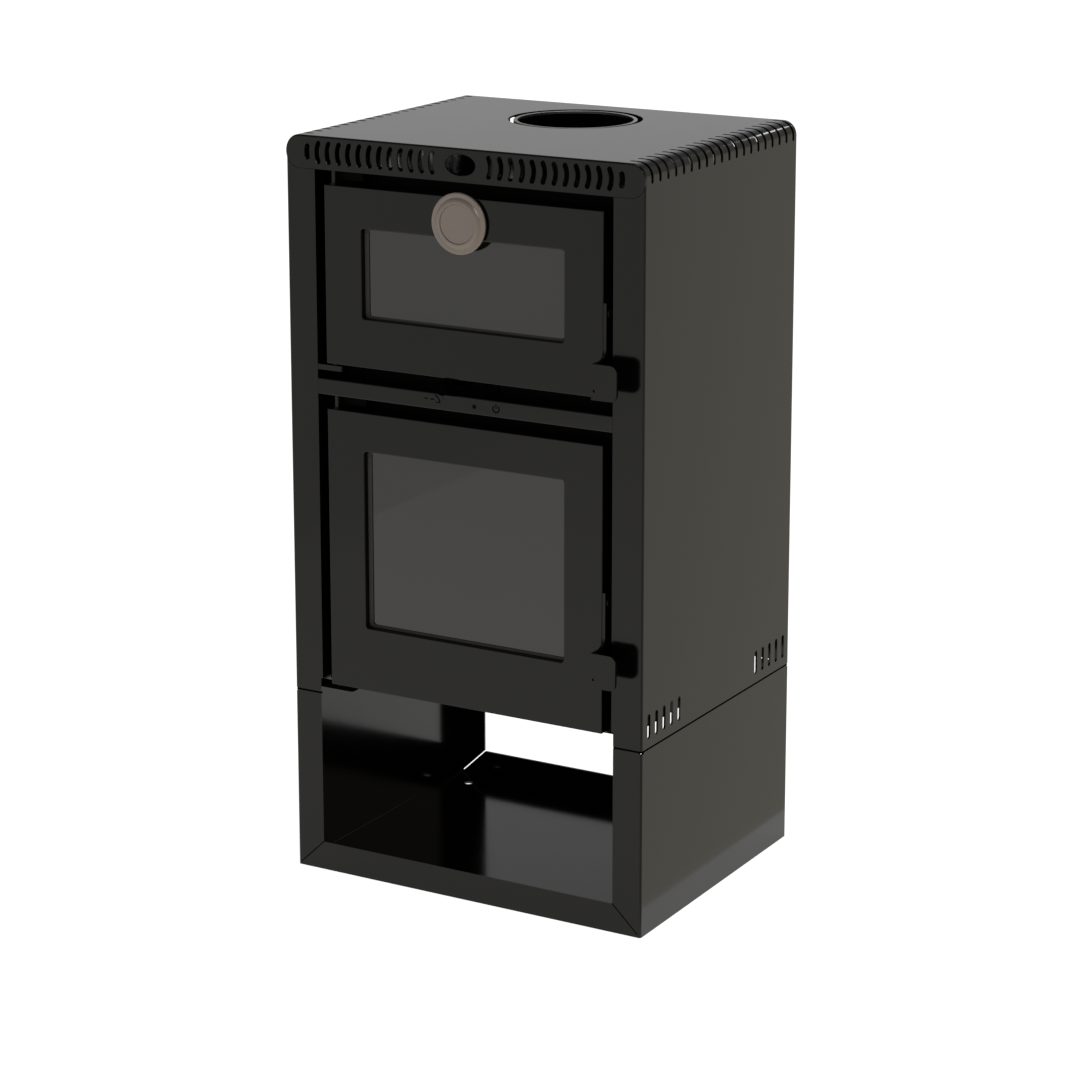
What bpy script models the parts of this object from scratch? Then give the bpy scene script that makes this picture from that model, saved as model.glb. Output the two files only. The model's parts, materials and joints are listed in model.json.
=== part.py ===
"""Wood stove with a small oven over the firebox and an open log store below.

The stove is an assembly: a folded log store, a folded casing with vent slots that wrap over its
top edges, a welded inner body with firebricks, an oven box and a flue collar, and two glazed doors
hung on pins at the left, each with a thermally safe bent-plate handle that works a hook latch.

Frame: metres, X to the right, Y to the back, +Z up. The doors face -Y. The origin is the centre of
the log store's underside, on the floor.
"""

import math

import bmesh
import bpy
from mathutils import Matrix, Vector

# Sizes of the whole stove
BODY_WIDTH = 0.510
BODY_DEPTH = 0.413
BASE_HEIGHT = 0.243
FIRE_DOOR_LIFT = 0.014
FIRE_DOOR_HEIGHT = 0.366
GAP_BELOW_RAIL = 0.017
RAIL_HEIGHT = 0.0215
GAP_ABOVE_RAIL = 0.0198
OVEN_DOOR_HEIGHT = 0.2287
GAP_BELOW_GRILLE = 0.018
GRILLE_HEIGHT = 0.042

# Clearances and working allowances
FIT = 0.0003
RUNNING_FIT = 0.0001
OVERRUN = 0.010
LAP = 0.001
EDGE_STEP = 0.0005

# Sheet metal
SHEET = 0.0025
BEND_RADIUS = 0.003
SEAM_BEVEL = 0.001
TOP_EDGE_RADIUS = 0.0185
POST_WIDTH = 0.0425
POST_RETURN_DEPTH = 0.030
POST_NOTCH_WIDTH = 0.0025
POST_NOTCH_HEIGHT = 0.019
REAR_FLANGE = 0.025
SEAM_FOLD = 0.010

# Log store
BASE_SHEET = 0.003
BASE_SIDE_FLANGE = 0.040
BASE_FLOOR_FLANGE = 0.038
MITRE_GAP = 0.0015
FLOOR_HOLE_RADIUS = 0.006
FLOOR_HOLE_SIDE_INSET = 0.037
FLOOR_HOLE_END_INSET = 0.0425

# Vent slots that wrap over the casing's top edges, and vents low on its sides
SLOT_COUNT = 20
SLOT_PITCH = 0.0202
SLOT_WIDTH = 0.006
SLOT_ROW_SHIFT = 0.003
SLOT_DROP = 0.0225
SLOT_TOP_REACH = 0.030
VENT_COUNT = 5
VENT_PITCH = 0.020
VENT_WIDTH = 0.0075
VENT_HEIGHT = 0.032
VENT_LIFT = 0.012
VENT_END_INSET = 0.0185
FLUE_HOLE_RADIUS = 0.087
FLUE_SETBACK = 0.080

# Front grille
GRILLE_THICKNESS = 0.003
GRILLE_LOWER_RADIUS = 0.020
LOUVRE_COUNT = 12
LOUVRE_FIRST = 0.040
LOUVRE_EDGE_INSET = 0.03185
END_LOUVRE_STEP_SHARE = 1.09
LOUVRE_WIDTH = 0.0056
LOUVRE_HEIGHT = 0.029
LOUVRE_SAG = 0.0026
END_LOUVRE_HEIGHT = 0.020
END_LOUVRE_SAG = 0.0008
LOUVRE_LIFT = 0.0005
OVAL_WIDTH = 0.043
OVAL_HEIGHT = 0.0263

# Rails
RAIL_SHEET = 0.003
RAIL_DEPTH = 0.0145
TOP_RAIL_THICKNESS = 0.0035

# Rear panel and air inlet
PANEL_SHEET = 0.002
PANEL_VENT_COUNT = 14
PANEL_VENT_PITCH = 0.030
PANEL_VENT_WIDTH = 0.010
PANEL_VENT_HEIGHT = 0.024
PANEL_VENT_DROP = 0.029
INLET_RADIUS = 0.029
INLET_WALL = 0.002
INLET_REACH = 0.017
INLET_FLANGE = 0.006

# Inner body
SEAL_SETBACK = 0.034
FRAME_THICKNESS = 0.004
FRAME_SHOULDER_LIFT = 0.067
MOUTH_SIDE_MARGIN = 0.047
MOUTH_END_MARGIN = 0.022
MOUTH_RADIUS = 0.010
CONVECTION_GAP = 0.030
JACKET_WALL = 0.004
JACKET_REAR_GAP = 0.0465
JACKET_TOP_DROP = 0.003
FLOOR_PLATE = 0.005
FLOOR_PLATE_INSET = 0.003
FLOOR_EAR_WIDTH = 0.060
FLOOR_EAR_SETBACK = 0.050
OVEN_WALL = 0.003
OVEN_DEPTH = 0.270
RACK_LEDGE_LIFT = 0.048
RACK_LEDGE_WIDTH = 0.010
RACK_LEDGE_THICKNESS = 0.003
COLLAR_RADIUS = 0.080
COLLAR_WALL = 0.005
COLLAR_DROP = 0.0005
COLLAR_FLANGE = 0.012
COLLAR_FLANGE_THICKNESS = 0.003

# Hearth and lining
ASH_ROOM = 0.059
HEARTH_THICKNESS = 0.004
GRATE_OPENING_WIDTH = 0.160
GRATE_OPENING_LENGTH = 0.150
GRATE_OPENING_SETBACK = 0.065
GRATE_REST = 0.010
GRATE_THICKNESS = 0.014
GRATE_BAR_COUNT = 7
GRATE_BAR_GAP = 0.010
BRICK_FLOOR_THICKNESS = 0.020
BRICK_SIDE_THICKNESS = 0.030
BRICK_BACK_THICKNESS = 0.025
BRICK_HEIGHT = 0.281
BRICK_FRONT_GAP = 0.010
BAFFLE_THICKNESS = 0.025
BAFFLE_FRONT_GAP = 0.055
ASH_PAN_WIDTH = 0.240
ASH_PAN_LENGTH = 0.220
ASH_PAN_HEIGHT = 0.030
ASH_PAN_WALL = 0.0015
ASH_PAN_LIP = 0.010
GUARD_HEIGHT = 0.032
GUARD_THICKNESS = 0.004
GUARD_FOOT = 0.012

# Air slide and its knob
SLIDE_WIDTH = 0.110
SLIDE_HEIGHT = 0.024
SLIDE_THICKNESS = 0.003
SLIDE_ROD_RADIUS = 0.003
SLIDE_REST = -0.022
SLIDE_TRAVEL_LEFT = 0.020
SLIDE_TRAVEL_RIGHT = 0.070
KNOB_RADIUS = 0.0105
KNOB_CLEARANCE = 0.0009
KNOB_LENGTH = 0.012
GUIDE_HEIGHT = 0.005
GUIDE_LIP = 0.003
GUIDE_LIP_THICKNESS = 0.0025
AIR_PORT_WIDTH = 0.014
AIR_PORT_HEIGHT = 0.010
AIR_PORT_PITCH = 0.028
AIR_PORT_COUNT = 3

# Doors
DOOR_SIDE_GAP = 0.0135
DOOR_DEPTH = 0.022
DOOR_EDGE_BEVEL = 0.0012
WINDOW_SIDE_MARGIN = 0.054
OVEN_WINDOW_TOP_MARGIN = 0.0515
OVEN_WINDOW_BOTTOM_MARGIN = 0.0627
FIRE_WINDOW_TOP_MARGIN = 0.050
FIRE_WINDOW_BOTTOM_MARGIN = 0.0835
WINDOW_RADIUS = 0.004
REVEAL_DEPTH = 0.009
GLASS_GASKET_THICKNESS = 0.0015
GLASS_GASKET_SHOW = 0.006
GLASS_THICKNESS = 0.004
GLASS_LAP = 0.010
RETAINER_THICKNESS = 0.0025
RETAINER_LAP = 0.014
RETAINER_STEP = 0.002
LINER_SHEET = 0.002
LINER_INSET = 0.0045
ROPE_SIDE_INSET = 0.030
ROPE_END_INSET = 0.0125
ROPE_CORNER_RADIUS = 0.012

# Hinges
HINGE_INSET = 0.010
HINGE_SETBACK = 0.008
HINGE_PIN_RADIUS = 0.003
HINGE_PIN_ENGAGEMENT = 0.012
HINGE_PIN_HEAD = 0.002
HINGE_BOSS_RADIUS = 0.0052
HINGE_BOSS_HEIGHT = 0.0015
BLOCK_WIDTH = 0.034
BLOCK_OFFSET = 0.004
BLOCK_FRONT_SETBACK = 0.0163
BLOCK_DROP = 0.0135
OVEN_TAB_THICKNESS = 0.0068
OVEN_TAB_WIDTH = 0.036
OVEN_TAB_DEPTH = 0.016
FIRE_TAB_THICKNESS = 0.005
FIRE_TAB_REACH = 0.044
FIRE_TAB_HIDDEN = 0.022
FIRE_TAB_DEPTH = 0.017
TAB_CLEARANCE = 0.002
TAB_END_RADIUS = 0.004

# Handle levers, latch pivots and keepers
LEVER_THICKNESS = 0.004
LEVER_ABOVE_PIVOT = 0.0135
LEVER_BELOW_PIVOT = 0.043
LEVER_BAR_DEPTH = 0.014
PIVOT_SETBACK = 0.008
PIVOT_RADIUS = 0.003
PIVOT_HEAD_RADIUS = 0.0055
PIVOT_HEAD_THICKNESS = 0.0024
PIVOT_SHANK_INSIDE = 0.010
OVEN_PIVOT_LIFT = 0.1037
FIRE_PIVOT_LIFT = 0.1675
GRIP_REACH = 0.030
GRIP_WIDTH = 0.0345
GRIP_HEIGHT = 0.044
GRIP_TOP_DROP = 0.055
GRIP_CORNER_RADIUS = 0.009
GRIP_FILLET_RADIUS = 0.012
GRIP_NOTCH = 0.003
WEB_LIFT = 0.0125
KEEPER_RADIUS = 0.0025
KEEPER_SETBACK = 0.022
KEEPER_LIFT = 0.001
KEEPER_FLANGE_RADIUS = 0.005
KEEPER_FLANGE_THICKNESS = 0.0015
KEEPER_END_GAP = 0.0012
HOOK_CLEARANCE = 0.0005
HOOK_BACK_GAP = 0.0005
HOOK_NOSE_WIDTH = 0.004
HOOK_NOSE_HEIGHT = 0.0045
HOOK_ARM_HEIGHT = 0.006

# Thermometer
GAUGE_RADIUS = 0.039
GAUGE_FACE_RADIUS = 0.0325
GAUGE_RECESS_RADIUS = 0.0248
GAUGE_RECESS = 0.002
GAUGE_WALL = 0.0085
GAUGE_CHAMFER = 0.0045
GAUGE_STANDOFF = 0.0015
GAUGE_HUB_RADIUS = 0.015
GAUGE_DROP = 0.032
GAUGE_DIAL_THICKNESS = 0.0012
GAUGE_STEM_RADIUS = 0.003
GAUGE_STEM_LENGTH = 0.052

# Oven rack
RACK_WIRE_RADIUS = 0.0025
RACK_CROSS_RADIUS = 0.002
RACK_CROSS_COUNT = 9
RACK_SIDE_GAP = 0.004
RACK_END_GAP = 0.020
RACK_CORNER_RADIUS = 0.012

# Facets
ROUND_SIDES = 24
SMALL_SIDES = 16
COLLAR_SIDES = 48
ARC_STEPS = 5
SLOT_END_STEPS = 3
PROFILE_SHARE = 0.5

# Levels and planes that the sizes give
SIDE = BODY_WIDTH / 2
FRONT = -BODY_DEPTH / 2
REAR = BODY_DEPTH / 2
FIRE_DOOR_BOTTOM = BASE_HEIGHT + FIRE_DOOR_LIFT
FIRE_DOOR_TOP = FIRE_DOOR_BOTTOM + FIRE_DOOR_HEIGHT
RAIL_BOTTOM = FIRE_DOOR_TOP + GAP_BELOW_RAIL
RAIL_TOP = RAIL_BOTTOM + RAIL_HEIGHT
OVEN_DOOR_BOTTOM = RAIL_TOP + GAP_ABOVE_RAIL
OVEN_DOOR_TOP = OVEN_DOOR_BOTTOM + OVEN_DOOR_HEIGHT
GRILLE_BOTTOM = OVEN_DOOR_TOP + GAP_BELOW_GRILLE
BODY_TOP = GRILLE_BOTTOM + GRILLE_HEIGHT
CASING_BOTTOM = BASE_HEIGHT + FIT / 2
BASE_TOP = BASE_HEIGHT - FIT / 2
POST_EDGE = SIDE - POST_WIDTH
LOUVRE_ROW = SIDE - LOUVRE_EDGE_INSET - LOUVRE_FIRST
LOUVRE_PITCH = LOUVRE_ROW / (LOUVRE_COUNT - 1 + END_LOUVRE_STEP_SHARE)
DOOR_HALF = POST_EDGE - DOOR_SIDE_GAP
SEAL_Y = FRONT + SEAL_SETBACK
FRAME_BACK = SEAL_Y + FRAME_THICKNESS
TOP_RAIL_BOTTOM = GRILLE_BOTTOM + FIT
TOP_RAIL_TOP = TOP_RAIL_BOTTOM + TOP_RAIL_THICKNESS
FOLD_TOP = CASING_BOTTOM + EDGE_STEP + SHEET
BODY_FLOOR_BOTTOM = FOLD_TOP + FIT
BODY_FLOOR_TOP = BODY_FLOOR_BOTTOM + FLOOR_PLATE
JACKET_HALF = SIDE - SHEET - CONVECTION_GAP
JACKET_INNER = JACKET_HALF - JACKET_WALL
JACKET_FRONT = FRAME_BACK + FIT
JACKET_BACK = REAR - JACKET_REAR_GAP
JACKET_BOTTOM = BODY_FLOOR_TOP + FIT
JACKET_TOP = GRILLE_BOTTOM - JACKET_TOP_DROP
MOUTH_HALF = DOOR_HALF - MOUTH_SIDE_MARGIN
HEARTH_BOTTOM = JACKET_BOTTOM + JACKET_WALL + ASH_ROOM
HEARTH_TOP = HEARTH_BOTTOM + HEARTH_THICKNESS
BRICK_BOTTOM = HEARTH_TOP + FIT
BRICK_TOP = BRICK_BOTTOM + BRICK_HEIGHT
INLET_Z = (JACKET_BOTTOM + JACKET_WALL + HEARTH_BOTTOM) / 2
WINDOW_HALF = DOOR_HALF - WINDOW_SIDE_MARGIN
GAUGE_Z = OVEN_DOOR_TOP - GAUGE_DROP
HINGE_X = -DOOR_HALF + HINGE_INSET
HINGE_Y = FRONT + HINGE_SETBACK
PIVOT_Y = FRONT + PIVOT_SETBACK
SLIDE_Z = RAIL_TOP + GAP_ABOVE_RAIL / 2
KNOB_Z = OVEN_DOOR_BOTTOM - KNOB_CLEARANCE - KNOB_RADIUS
SLIDE_FRONT = SEAL_Y - FIT - SLIDE_THICKNESS

# Paint and other finishes: base colour, roughness, metallic
FINISHES = {
    "black_paint": ((0.022, 0.022, 0.021, 1.0), 0.34, 0.0),
    "dark_steel": ((0.018, 0.018, 0.018, 1.0), 0.55, 0.6),
    "bare_steel": ((0.42, 0.42, 0.41, 1.0), 0.35, 1.0),
    "cast_iron": ((0.030, 0.030, 0.030, 1.0), 0.75, 0.4),
    "ceramic_glass": ((0.060, 0.060, 0.058, 1.0), 0.08, 0.0),
    "rope": ((0.090, 0.088, 0.084, 1.0), 0.95, 0.0),
    "vermiculite": ((0.520, 0.430, 0.300, 1.0), 0.95, 0.0),
    "taupe_metal": ((0.190, 0.165, 0.145, 1.0), 0.38, 0.7),
    "dial": ((0.170, 0.150, 0.130, 1.0), 0.45, 0.2),
    "knob": ((0.012, 0.012, 0.012, 1.0), 0.45, 0.0),
}


def new_collection(name, hidden=False):
    """Return a new collection linked to the scene."""
    made = bpy.data.collections.new(name)
    made.hide_render = hidden
    bpy.context.scene.collection.children.link(made)
    return made


def material(name, finish):
    """Return a Principled material in one of the finishes."""
    colour, roughness, metallic = FINISHES[finish]
    made = bpy.data.materials.new(name)
    made.use_nodes = True
    shader = made.node_tree.nodes["Principled BSDF"]
    shader.inputs["Base Color"].default_value = colour
    shader.inputs["Roughness"].default_value = roughness
    shader.inputs["Metallic"].default_value = metallic
    made.diffuse_color = colour
    return made


class Builder:
    """Adds pieces and their cutters, each kind to its own collection."""

    def __init__(self):
        self.pieces = new_collection("wood_stove")
        self.cutters = new_collection("wood_stove_cutters", hidden=True)

    def add(self, name, mesh, finish=None, pivot=None):
        """Link a mesh as a named piece, or as a cutter where it has no finish."""
        obj = bpy.data.objects.new(name, mesh)
        if finish:
            self.pieces.objects.link(obj)
            mesh.materials.append(material(name, finish))
        else:
            self.cutters.objects.link(obj)
            obj.hide_render = True
            obj.display_type = "WIRE"
        if pivot is not None:
            mesh.transform(Matrix.Translation(-pivot.location))
            obj.parent = pivot
        return obj

    def joined(self, target, mesh, operation="UNION", label="shape"):
        """Join or cut a piece with a mesh by a Boolean modifier."""
        count = len(target.modifiers) + 1
        tool = self.add(f"{target.name}_{label}_{count}", mesh)
        if target.parent is not None:
            mesh.transform(Matrix.Translation(-target.parent.location))
            tool.parent = target.parent
        change = target.modifiers.new(f"{label} {count}", "BOOLEAN")
        change.operation = operation
        change.solver = "EXACT"
        change.object = tool
        return tool

    def cut(self, target, mesh, label="cut"):
        """Cut a mesh out of a piece."""
        return self.joined(target, mesh, "DIFFERENCE", label)

    def pivot(self, name, location):
        """Return an empty that stands on a joint's axis."""
        made = bpy.data.objects.new(name, None)
        made.empty_display_size = OVERRUN
        made.location = location
        self.pieces.objects.link(made)
        return made


def mesh_from(bm, name="mesh", smooth=False):
    """Turn a bmesh into a mesh with its faces pointing out."""
    bmesh.ops.recalc_face_normals(bm, faces=bm.faces)
    mesh = bpy.data.meshes.new(name)
    bm.to_mesh(mesh)
    bm.free()
    if smooth:
        mesh.shade_smooth()
        mesh.set_sharp_from_angle(angle=math.radians(35))
    return mesh


def box_bmesh(low, high):
    """Return a bmesh box between two corners."""
    bm = bmesh.new()
    bmesh.ops.create_cube(bm, size=1)
    low = Vector(low)
    high = Vector(high)
    bmesh.ops.scale(bm, vec=high - low, verts=bm.verts)
    bmesh.ops.translate(bm, vec=(low + high) / 2, verts=bm.verts)
    return bm


def box(low, high):
    """Return a box mesh between two corners."""
    return mesh_from(box_bmesh(low, high))


def boxes(corners):
    """Return one mesh of several boxes that don't touch."""
    bm = bmesh.new()
    for low, high in corners:
        made = bmesh.ops.create_cube(bm, size=1)["verts"]
        low = Vector(low)
        high = Vector(high)
        bmesh.ops.scale(bm, vec=high - low, verts=made)
        bmesh.ops.translate(bm, vec=(low + high) / 2, verts=made)
    return mesh_from(bm)


TURNS = {
    "X": Matrix.Rotation(math.radians(90), 4, "Y"),
    "Y": Matrix.Rotation(math.radians(-90), 4, "X"),
    "Z": Matrix.Identity(4),
}


def cylinders(rods, radius, axis, sides=ROUND_SIDES):
    """Return one mesh of cylinders, each from its start point along an axis for its length."""
    bm = bmesh.new()
    direction = TURNS[axis].to_3x3() @ Vector((0, 0, 1))
    for start, length in rods:
        made = bmesh.ops.create_cone(
            bm, cap_ends=True, segments=sides, radius1=radius, radius2=radius, depth=length
        )["verts"]
        place = Matrix.Translation(Vector(start) + direction * length / 2) @ TURNS[axis]
        bmesh.ops.transform(bm, matrix=place, verts=made)
    return mesh_from(bm, smooth=True)


def cylinder(start, length, radius, axis, sides=ROUND_SIDES):
    """Return a cylinder mesh from a start point along an axis."""
    return cylinders([(start, length)], radius, axis, sides)


PLANES = {
    "XZ": Matrix(((1, 0, 0, 0), (0, 0, 1, 0), (0, 1, 0, 0), (0, 0, 0, 1))),
    "YZ": Matrix(((0, 0, 1, 0), (1, 0, 0, 0), (0, 1, 0, 0), (0, 0, 0, 1))),
    "XY": Matrix.Identity(4),
}


def outline(loops, plane, start, thickness):
    """Return a plate from flat loops in a plane, with its thickness from start along the normal."""
    curve = bpy.data.curves.new("outline", "CURVE")
    curve.dimensions = "2D"
    curve.fill_mode = "BOTH"
    curve.extrude = thickness / 2
    for loop in loops:
        spline = curve.splines.new("POLY")
        spline.points.add(len(loop) - 1)
        for point, (u, v) in zip(spline.points, loop):
            point.co = (u, v, 0, 1)
        spline.use_cyclic_u = True
    holder = bpy.data.objects.new("outline", curve)
    bpy.context.scene.collection.objects.link(holder)
    bpy.context.view_layer.update()
    graph = bpy.context.evaluated_depsgraph_get()
    mesh = bpy.data.meshes.new_from_object(holder.evaluated_get(graph))
    bpy.data.objects.remove(holder)
    bpy.data.curves.remove(curve)
    bm = bmesh.new()
    bm.from_mesh(mesh)
    bpy.data.meshes.remove(mesh)
    bmesh.ops.remove_doubles(bm, verts=bm.verts, dist=FIT / 10)
    bmesh.ops.translate(bm, vec=(0, 0, thickness / 2 + start), verts=bm.verts)
    bmesh.ops.transform(bm, matrix=PLANES[plane], verts=bm.verts)
    return mesh_from(bm)


def arc(centre, radius, start, end, steps=ARC_STEPS):
    """Return points on an arc, its angles in degrees."""
    points = []
    for i in range(steps + 1):
        angle = math.radians(start + (end - start) * i / steps)
        points.append((centre[0] + radius * math.cos(angle), centre[1] + radius * math.sin(angle)))
    return points


def rounded_rectangle(low, high, radii, steps=ARC_STEPS):
    """Return a rectangle's loop with corner radii, from its lower left corner round to the right."""
    lower_left, lower_right, upper_right, upper_left = radii
    loop = arc((low[0] + lower_left, low[1] + lower_left), lower_left, 180, 270, steps)
    loop += arc((high[0] - lower_right, low[1] + lower_right), lower_right, 270, 360, steps)
    loop += arc((high[0] - upper_right, high[1] - upper_right), upper_right, 0, 90, steps)
    loop += arc((low[0] + upper_left, high[1] - upper_left), upper_left, 90, 180, steps)
    return loop


def rectangle(low, high):
    """Return a rectangle's loop."""
    return [low, (high[0], low[1]), high, (low[0], high[1])]


def stadium(centre, width, height, steps=SLOT_END_STEPS):
    """Return the loop of an upright slot with round ends."""
    radius = width / 2
    rise = height / 2 - radius
    loop = arc((centre[0], centre[1] + rise), radius, 0, 180, steps)
    loop += arc((centre[0], centre[1] - rise), radius, 180, 360, steps)
    return loop


def louvre(centre, height, width, sag, side):
    """Return the loop of an upright curved slot that bows away from the middle of the grille."""
    radius = width / 2
    half = height / 2 - radius
    bend = (half * half + sag * sag) / (2 * sag)
    spread = math.degrees(math.asin(half / bend))
    hub = (centre[0] - side * (bend - sag), centre[1])
    turn = 0 if side > 0 else 180
    outer = arc(hub, bend + radius, turn - spread, turn + spread)
    inner = arc(hub, bend - radius, turn + spread, turn - spread)
    top = arc(hub, bend, turn + spread, turn + spread, 1)[0]
    bottom = arc(hub, bend, turn - spread, turn - spread, 1)[0]
    top_cap = arc(top, radius, turn + spread, turn + spread + 180, SLOT_END_STEPS)
    bottom_cap = arc(bottom, radius, turn - spread - 180, turn - spread, SLOT_END_STEPS)
    return outer[:-1] + top_cap[:-1] + inner[:-1] + bottom_cap[:-1]


def turned(profile, centre, axis, sides):
    """Return a turned mesh from a closed profile of (radius, height) points about an axis."""
    bm = bmesh.new()
    ring = [bm.verts.new((radius, 0, height)) for radius, height in profile]
    for first, second in zip(ring, ring[1:] + ring[:1]):
        if first.co.x > 0 or second.co.x > 0:
            bm.edges.new((first, second))
    mesh = bpy.data.meshes.new("profile")
    bm.to_mesh(mesh)
    bm.free()
    holder = bpy.data.objects.new("profile", mesh)
    bpy.context.scene.collection.objects.link(holder)
    screw = holder.modifiers.new("turn", "SCREW")
    screw.steps = sides
    screw.render_steps = sides
    screw.use_merge_vertices = True
    screw.merge_threshold = FIT / 10
    bpy.context.view_layer.update()
    graph = bpy.context.evaluated_depsgraph_get()
    made = bpy.data.meshes.new_from_object(holder.evaluated_get(graph))
    bpy.data.objects.remove(holder)
    bpy.data.meshes.remove(mesh)
    bm = bmesh.new()
    bm.from_mesh(made)
    bpy.data.meshes.remove(made)
    bmesh.ops.remove_doubles(bm, verts=bm.verts, dist=FIT / 10)
    bmesh.ops.transform(bm, matrix=Matrix.Translation(centre) @ TURNS[axis], verts=bm.verts)
    return mesh_from(bm, smooth=True)


def tube(points, radius, cyclic):
    """Return a round tube mesh along points."""
    curve = bpy.data.curves.new("tube", "CURVE")
    curve.dimensions = "3D"
    curve.bevel_depth = radius
    curve.bevel_resolution = 2
    curve.use_fill_caps = not cyclic
    spline = curve.splines.new("POLY")
    spline.points.add(len(points) - 1)
    for point, place in zip(spline.points, points):
        point.co = (*place, 1)
    spline.use_cyclic_u = cyclic
    holder = bpy.data.objects.new("tube", curve)
    bpy.context.scene.collection.objects.link(holder)
    bpy.context.view_layer.update()
    graph = bpy.context.evaluated_depsgraph_get()
    mesh = bpy.data.meshes.new_from_object(holder.evaluated_get(graph))
    bpy.data.objects.remove(holder)
    bpy.data.curves.remove(curve)
    bm = bmesh.new()
    bm.from_mesh(mesh)
    bpy.data.meshes.remove(mesh)
    bmesh.ops.remove_doubles(bm, verts=bm.verts, dist=FIT / 10)
    return mesh_from(bm, smooth=True)


def bevelled(bm, chosen, width, segments):
    """Bevel the chosen edges of a bmesh and return its mesh."""
    bmesh.ops.bevel(
        bm, geom=chosen, offset=width, segments=segments, profile=PROFILE_SHARE, affect="EDGES"
    )
    return mesh_from(bm)


def upright_edges(bm):
    """Return the edges of a bmesh that stand upright."""
    return [edge for edge in bm.edges if abs((edge.verts[0].co - edge.verts[1].co).normalized().z) > 0.99]


def build_log_store(build):
    """The folded log store: two sides, a floor, mitred flanges at both open ends and top folds."""
    bm = box_bmesh((-SIDE, FRONT, 0), (SIDE, REAR, BASE_TOP))
    corners = upright_edges(bm)
    mesh = bevelled(bm, corners, BEND_RADIUS, 3)
    shell = build.add("log_store_shell", mesh, "black_paint")
    inner = SIDE - BASE_SHEET
    build.cut(
        shell,
        box(
            (-inner, FRONT + BASE_SHEET, BASE_SHEET),
            (inner, REAR - BASE_SHEET, BASE_TOP + OVERRUN),
        ),
        "hollow",
    )
    opening = SIDE - BASE_SIDE_FLANGE
    build.cut(
        shell,
        box(
            (-opening, FRONT - OVERRUN, BASE_FLOOR_FLANGE),
            (opening, REAR + OVERRUN, BASE_TOP + OVERRUN),
        ),
        "opening",
    )
    fold_top = BASE_TOP - EDGE_STEP
    folds = []
    for side in (-1, 1):
        inside = side * (inner - SEAM_FOLD)
        outside = side * (inner + LAP)
        folds.append(
            (
                (min(inside, outside), FRONT + BASE_SHEET + FIT, fold_top - BASE_SHEET),
                (max(inside, outside), REAR - BASE_SHEET - FIT, fold_top),
            )
        )
    build.joined(shell, boxes(folds), label="folds")
    build.cut(shell, mitre_cutters(), "mitres")
    holes = []
    for side in (-1, 1):
        for end in (-1, 1):
            place = (
                side * (SIDE - FLOOR_HOLE_SIDE_INSET),
                end * (REAR - FLOOR_HOLE_END_INSET),
                -OVERRUN,
            )
            holes.append((place, BASE_SHEET + OVERRUN + OVERRUN))
    build.cut(shell, cylinders(holes, FLOOR_HOLE_RADIUS, "Z", SMALL_SIDES), "floor holes")


def mitre_cutters():
    """Slanted boxes that part the log store's side and floor flanges at their four mitres."""
    bm = bmesh.new()
    slope = math.atan2(BASE_FLOOR_FLANGE, BASE_SIDE_FLANGE)
    whole = math.hypot(BASE_FLOOR_FLANGE, BASE_SIDE_FLANGE)
    length = whole - BASE_SHEET - BEND_RADIUS + OVERRUN
    start = BASE_SHEET + BEND_RADIUS
    depth = BASE_SHEET + LAP
    for side in (-1, 1):
        for end in (-1, 1):
            made = bmesh.ops.create_cube(bm, size=1)["verts"]
            bmesh.ops.scale(bm, vec=(length, depth + depth, MITRE_GAP), verts=made)
            middle = start + length / 2
            turn = Matrix.Rotation(side * slope, 4, "Y")
            place = Matrix.Translation(
                (
                    side * (SIDE - middle * math.cos(slope)),
                    end * REAR,
                    middle * math.sin(slope),
                )
            )
            bmesh.ops.transform(bm, matrix=place @ turn, verts=made)
    return mesh_from(bm)


def body_outline(grow=0.0, bottom=CASING_BOTTOM):
    """The casing's front outline, with rounded upper corners, drawn in or let out by grow."""
    radius = TOP_EDGE_RADIUS + grow
    half = SIDE + grow
    top = BODY_TOP + grow
    loop = [(-half, bottom), (half, bottom)]
    loop += arc((half - radius, top - radius), radius, 0, 90)
    loop += arc((-half + radius, top - radius), radius, 90, 180)
    return loop


def grille_outline(grow=0.0):
    """The grille's outline: the body's rounded corners above and its own below."""
    upper = TOP_EDGE_RADIUS + grow
    lower = GRILLE_LOWER_RADIUS + grow
    return rounded_rectangle(
        (-SIDE - grow, GRILLE_BOTTOM - grow),
        (SIDE + grow, BODY_TOP + grow),
        (lower, lower, upper, upper),
    )


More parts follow.
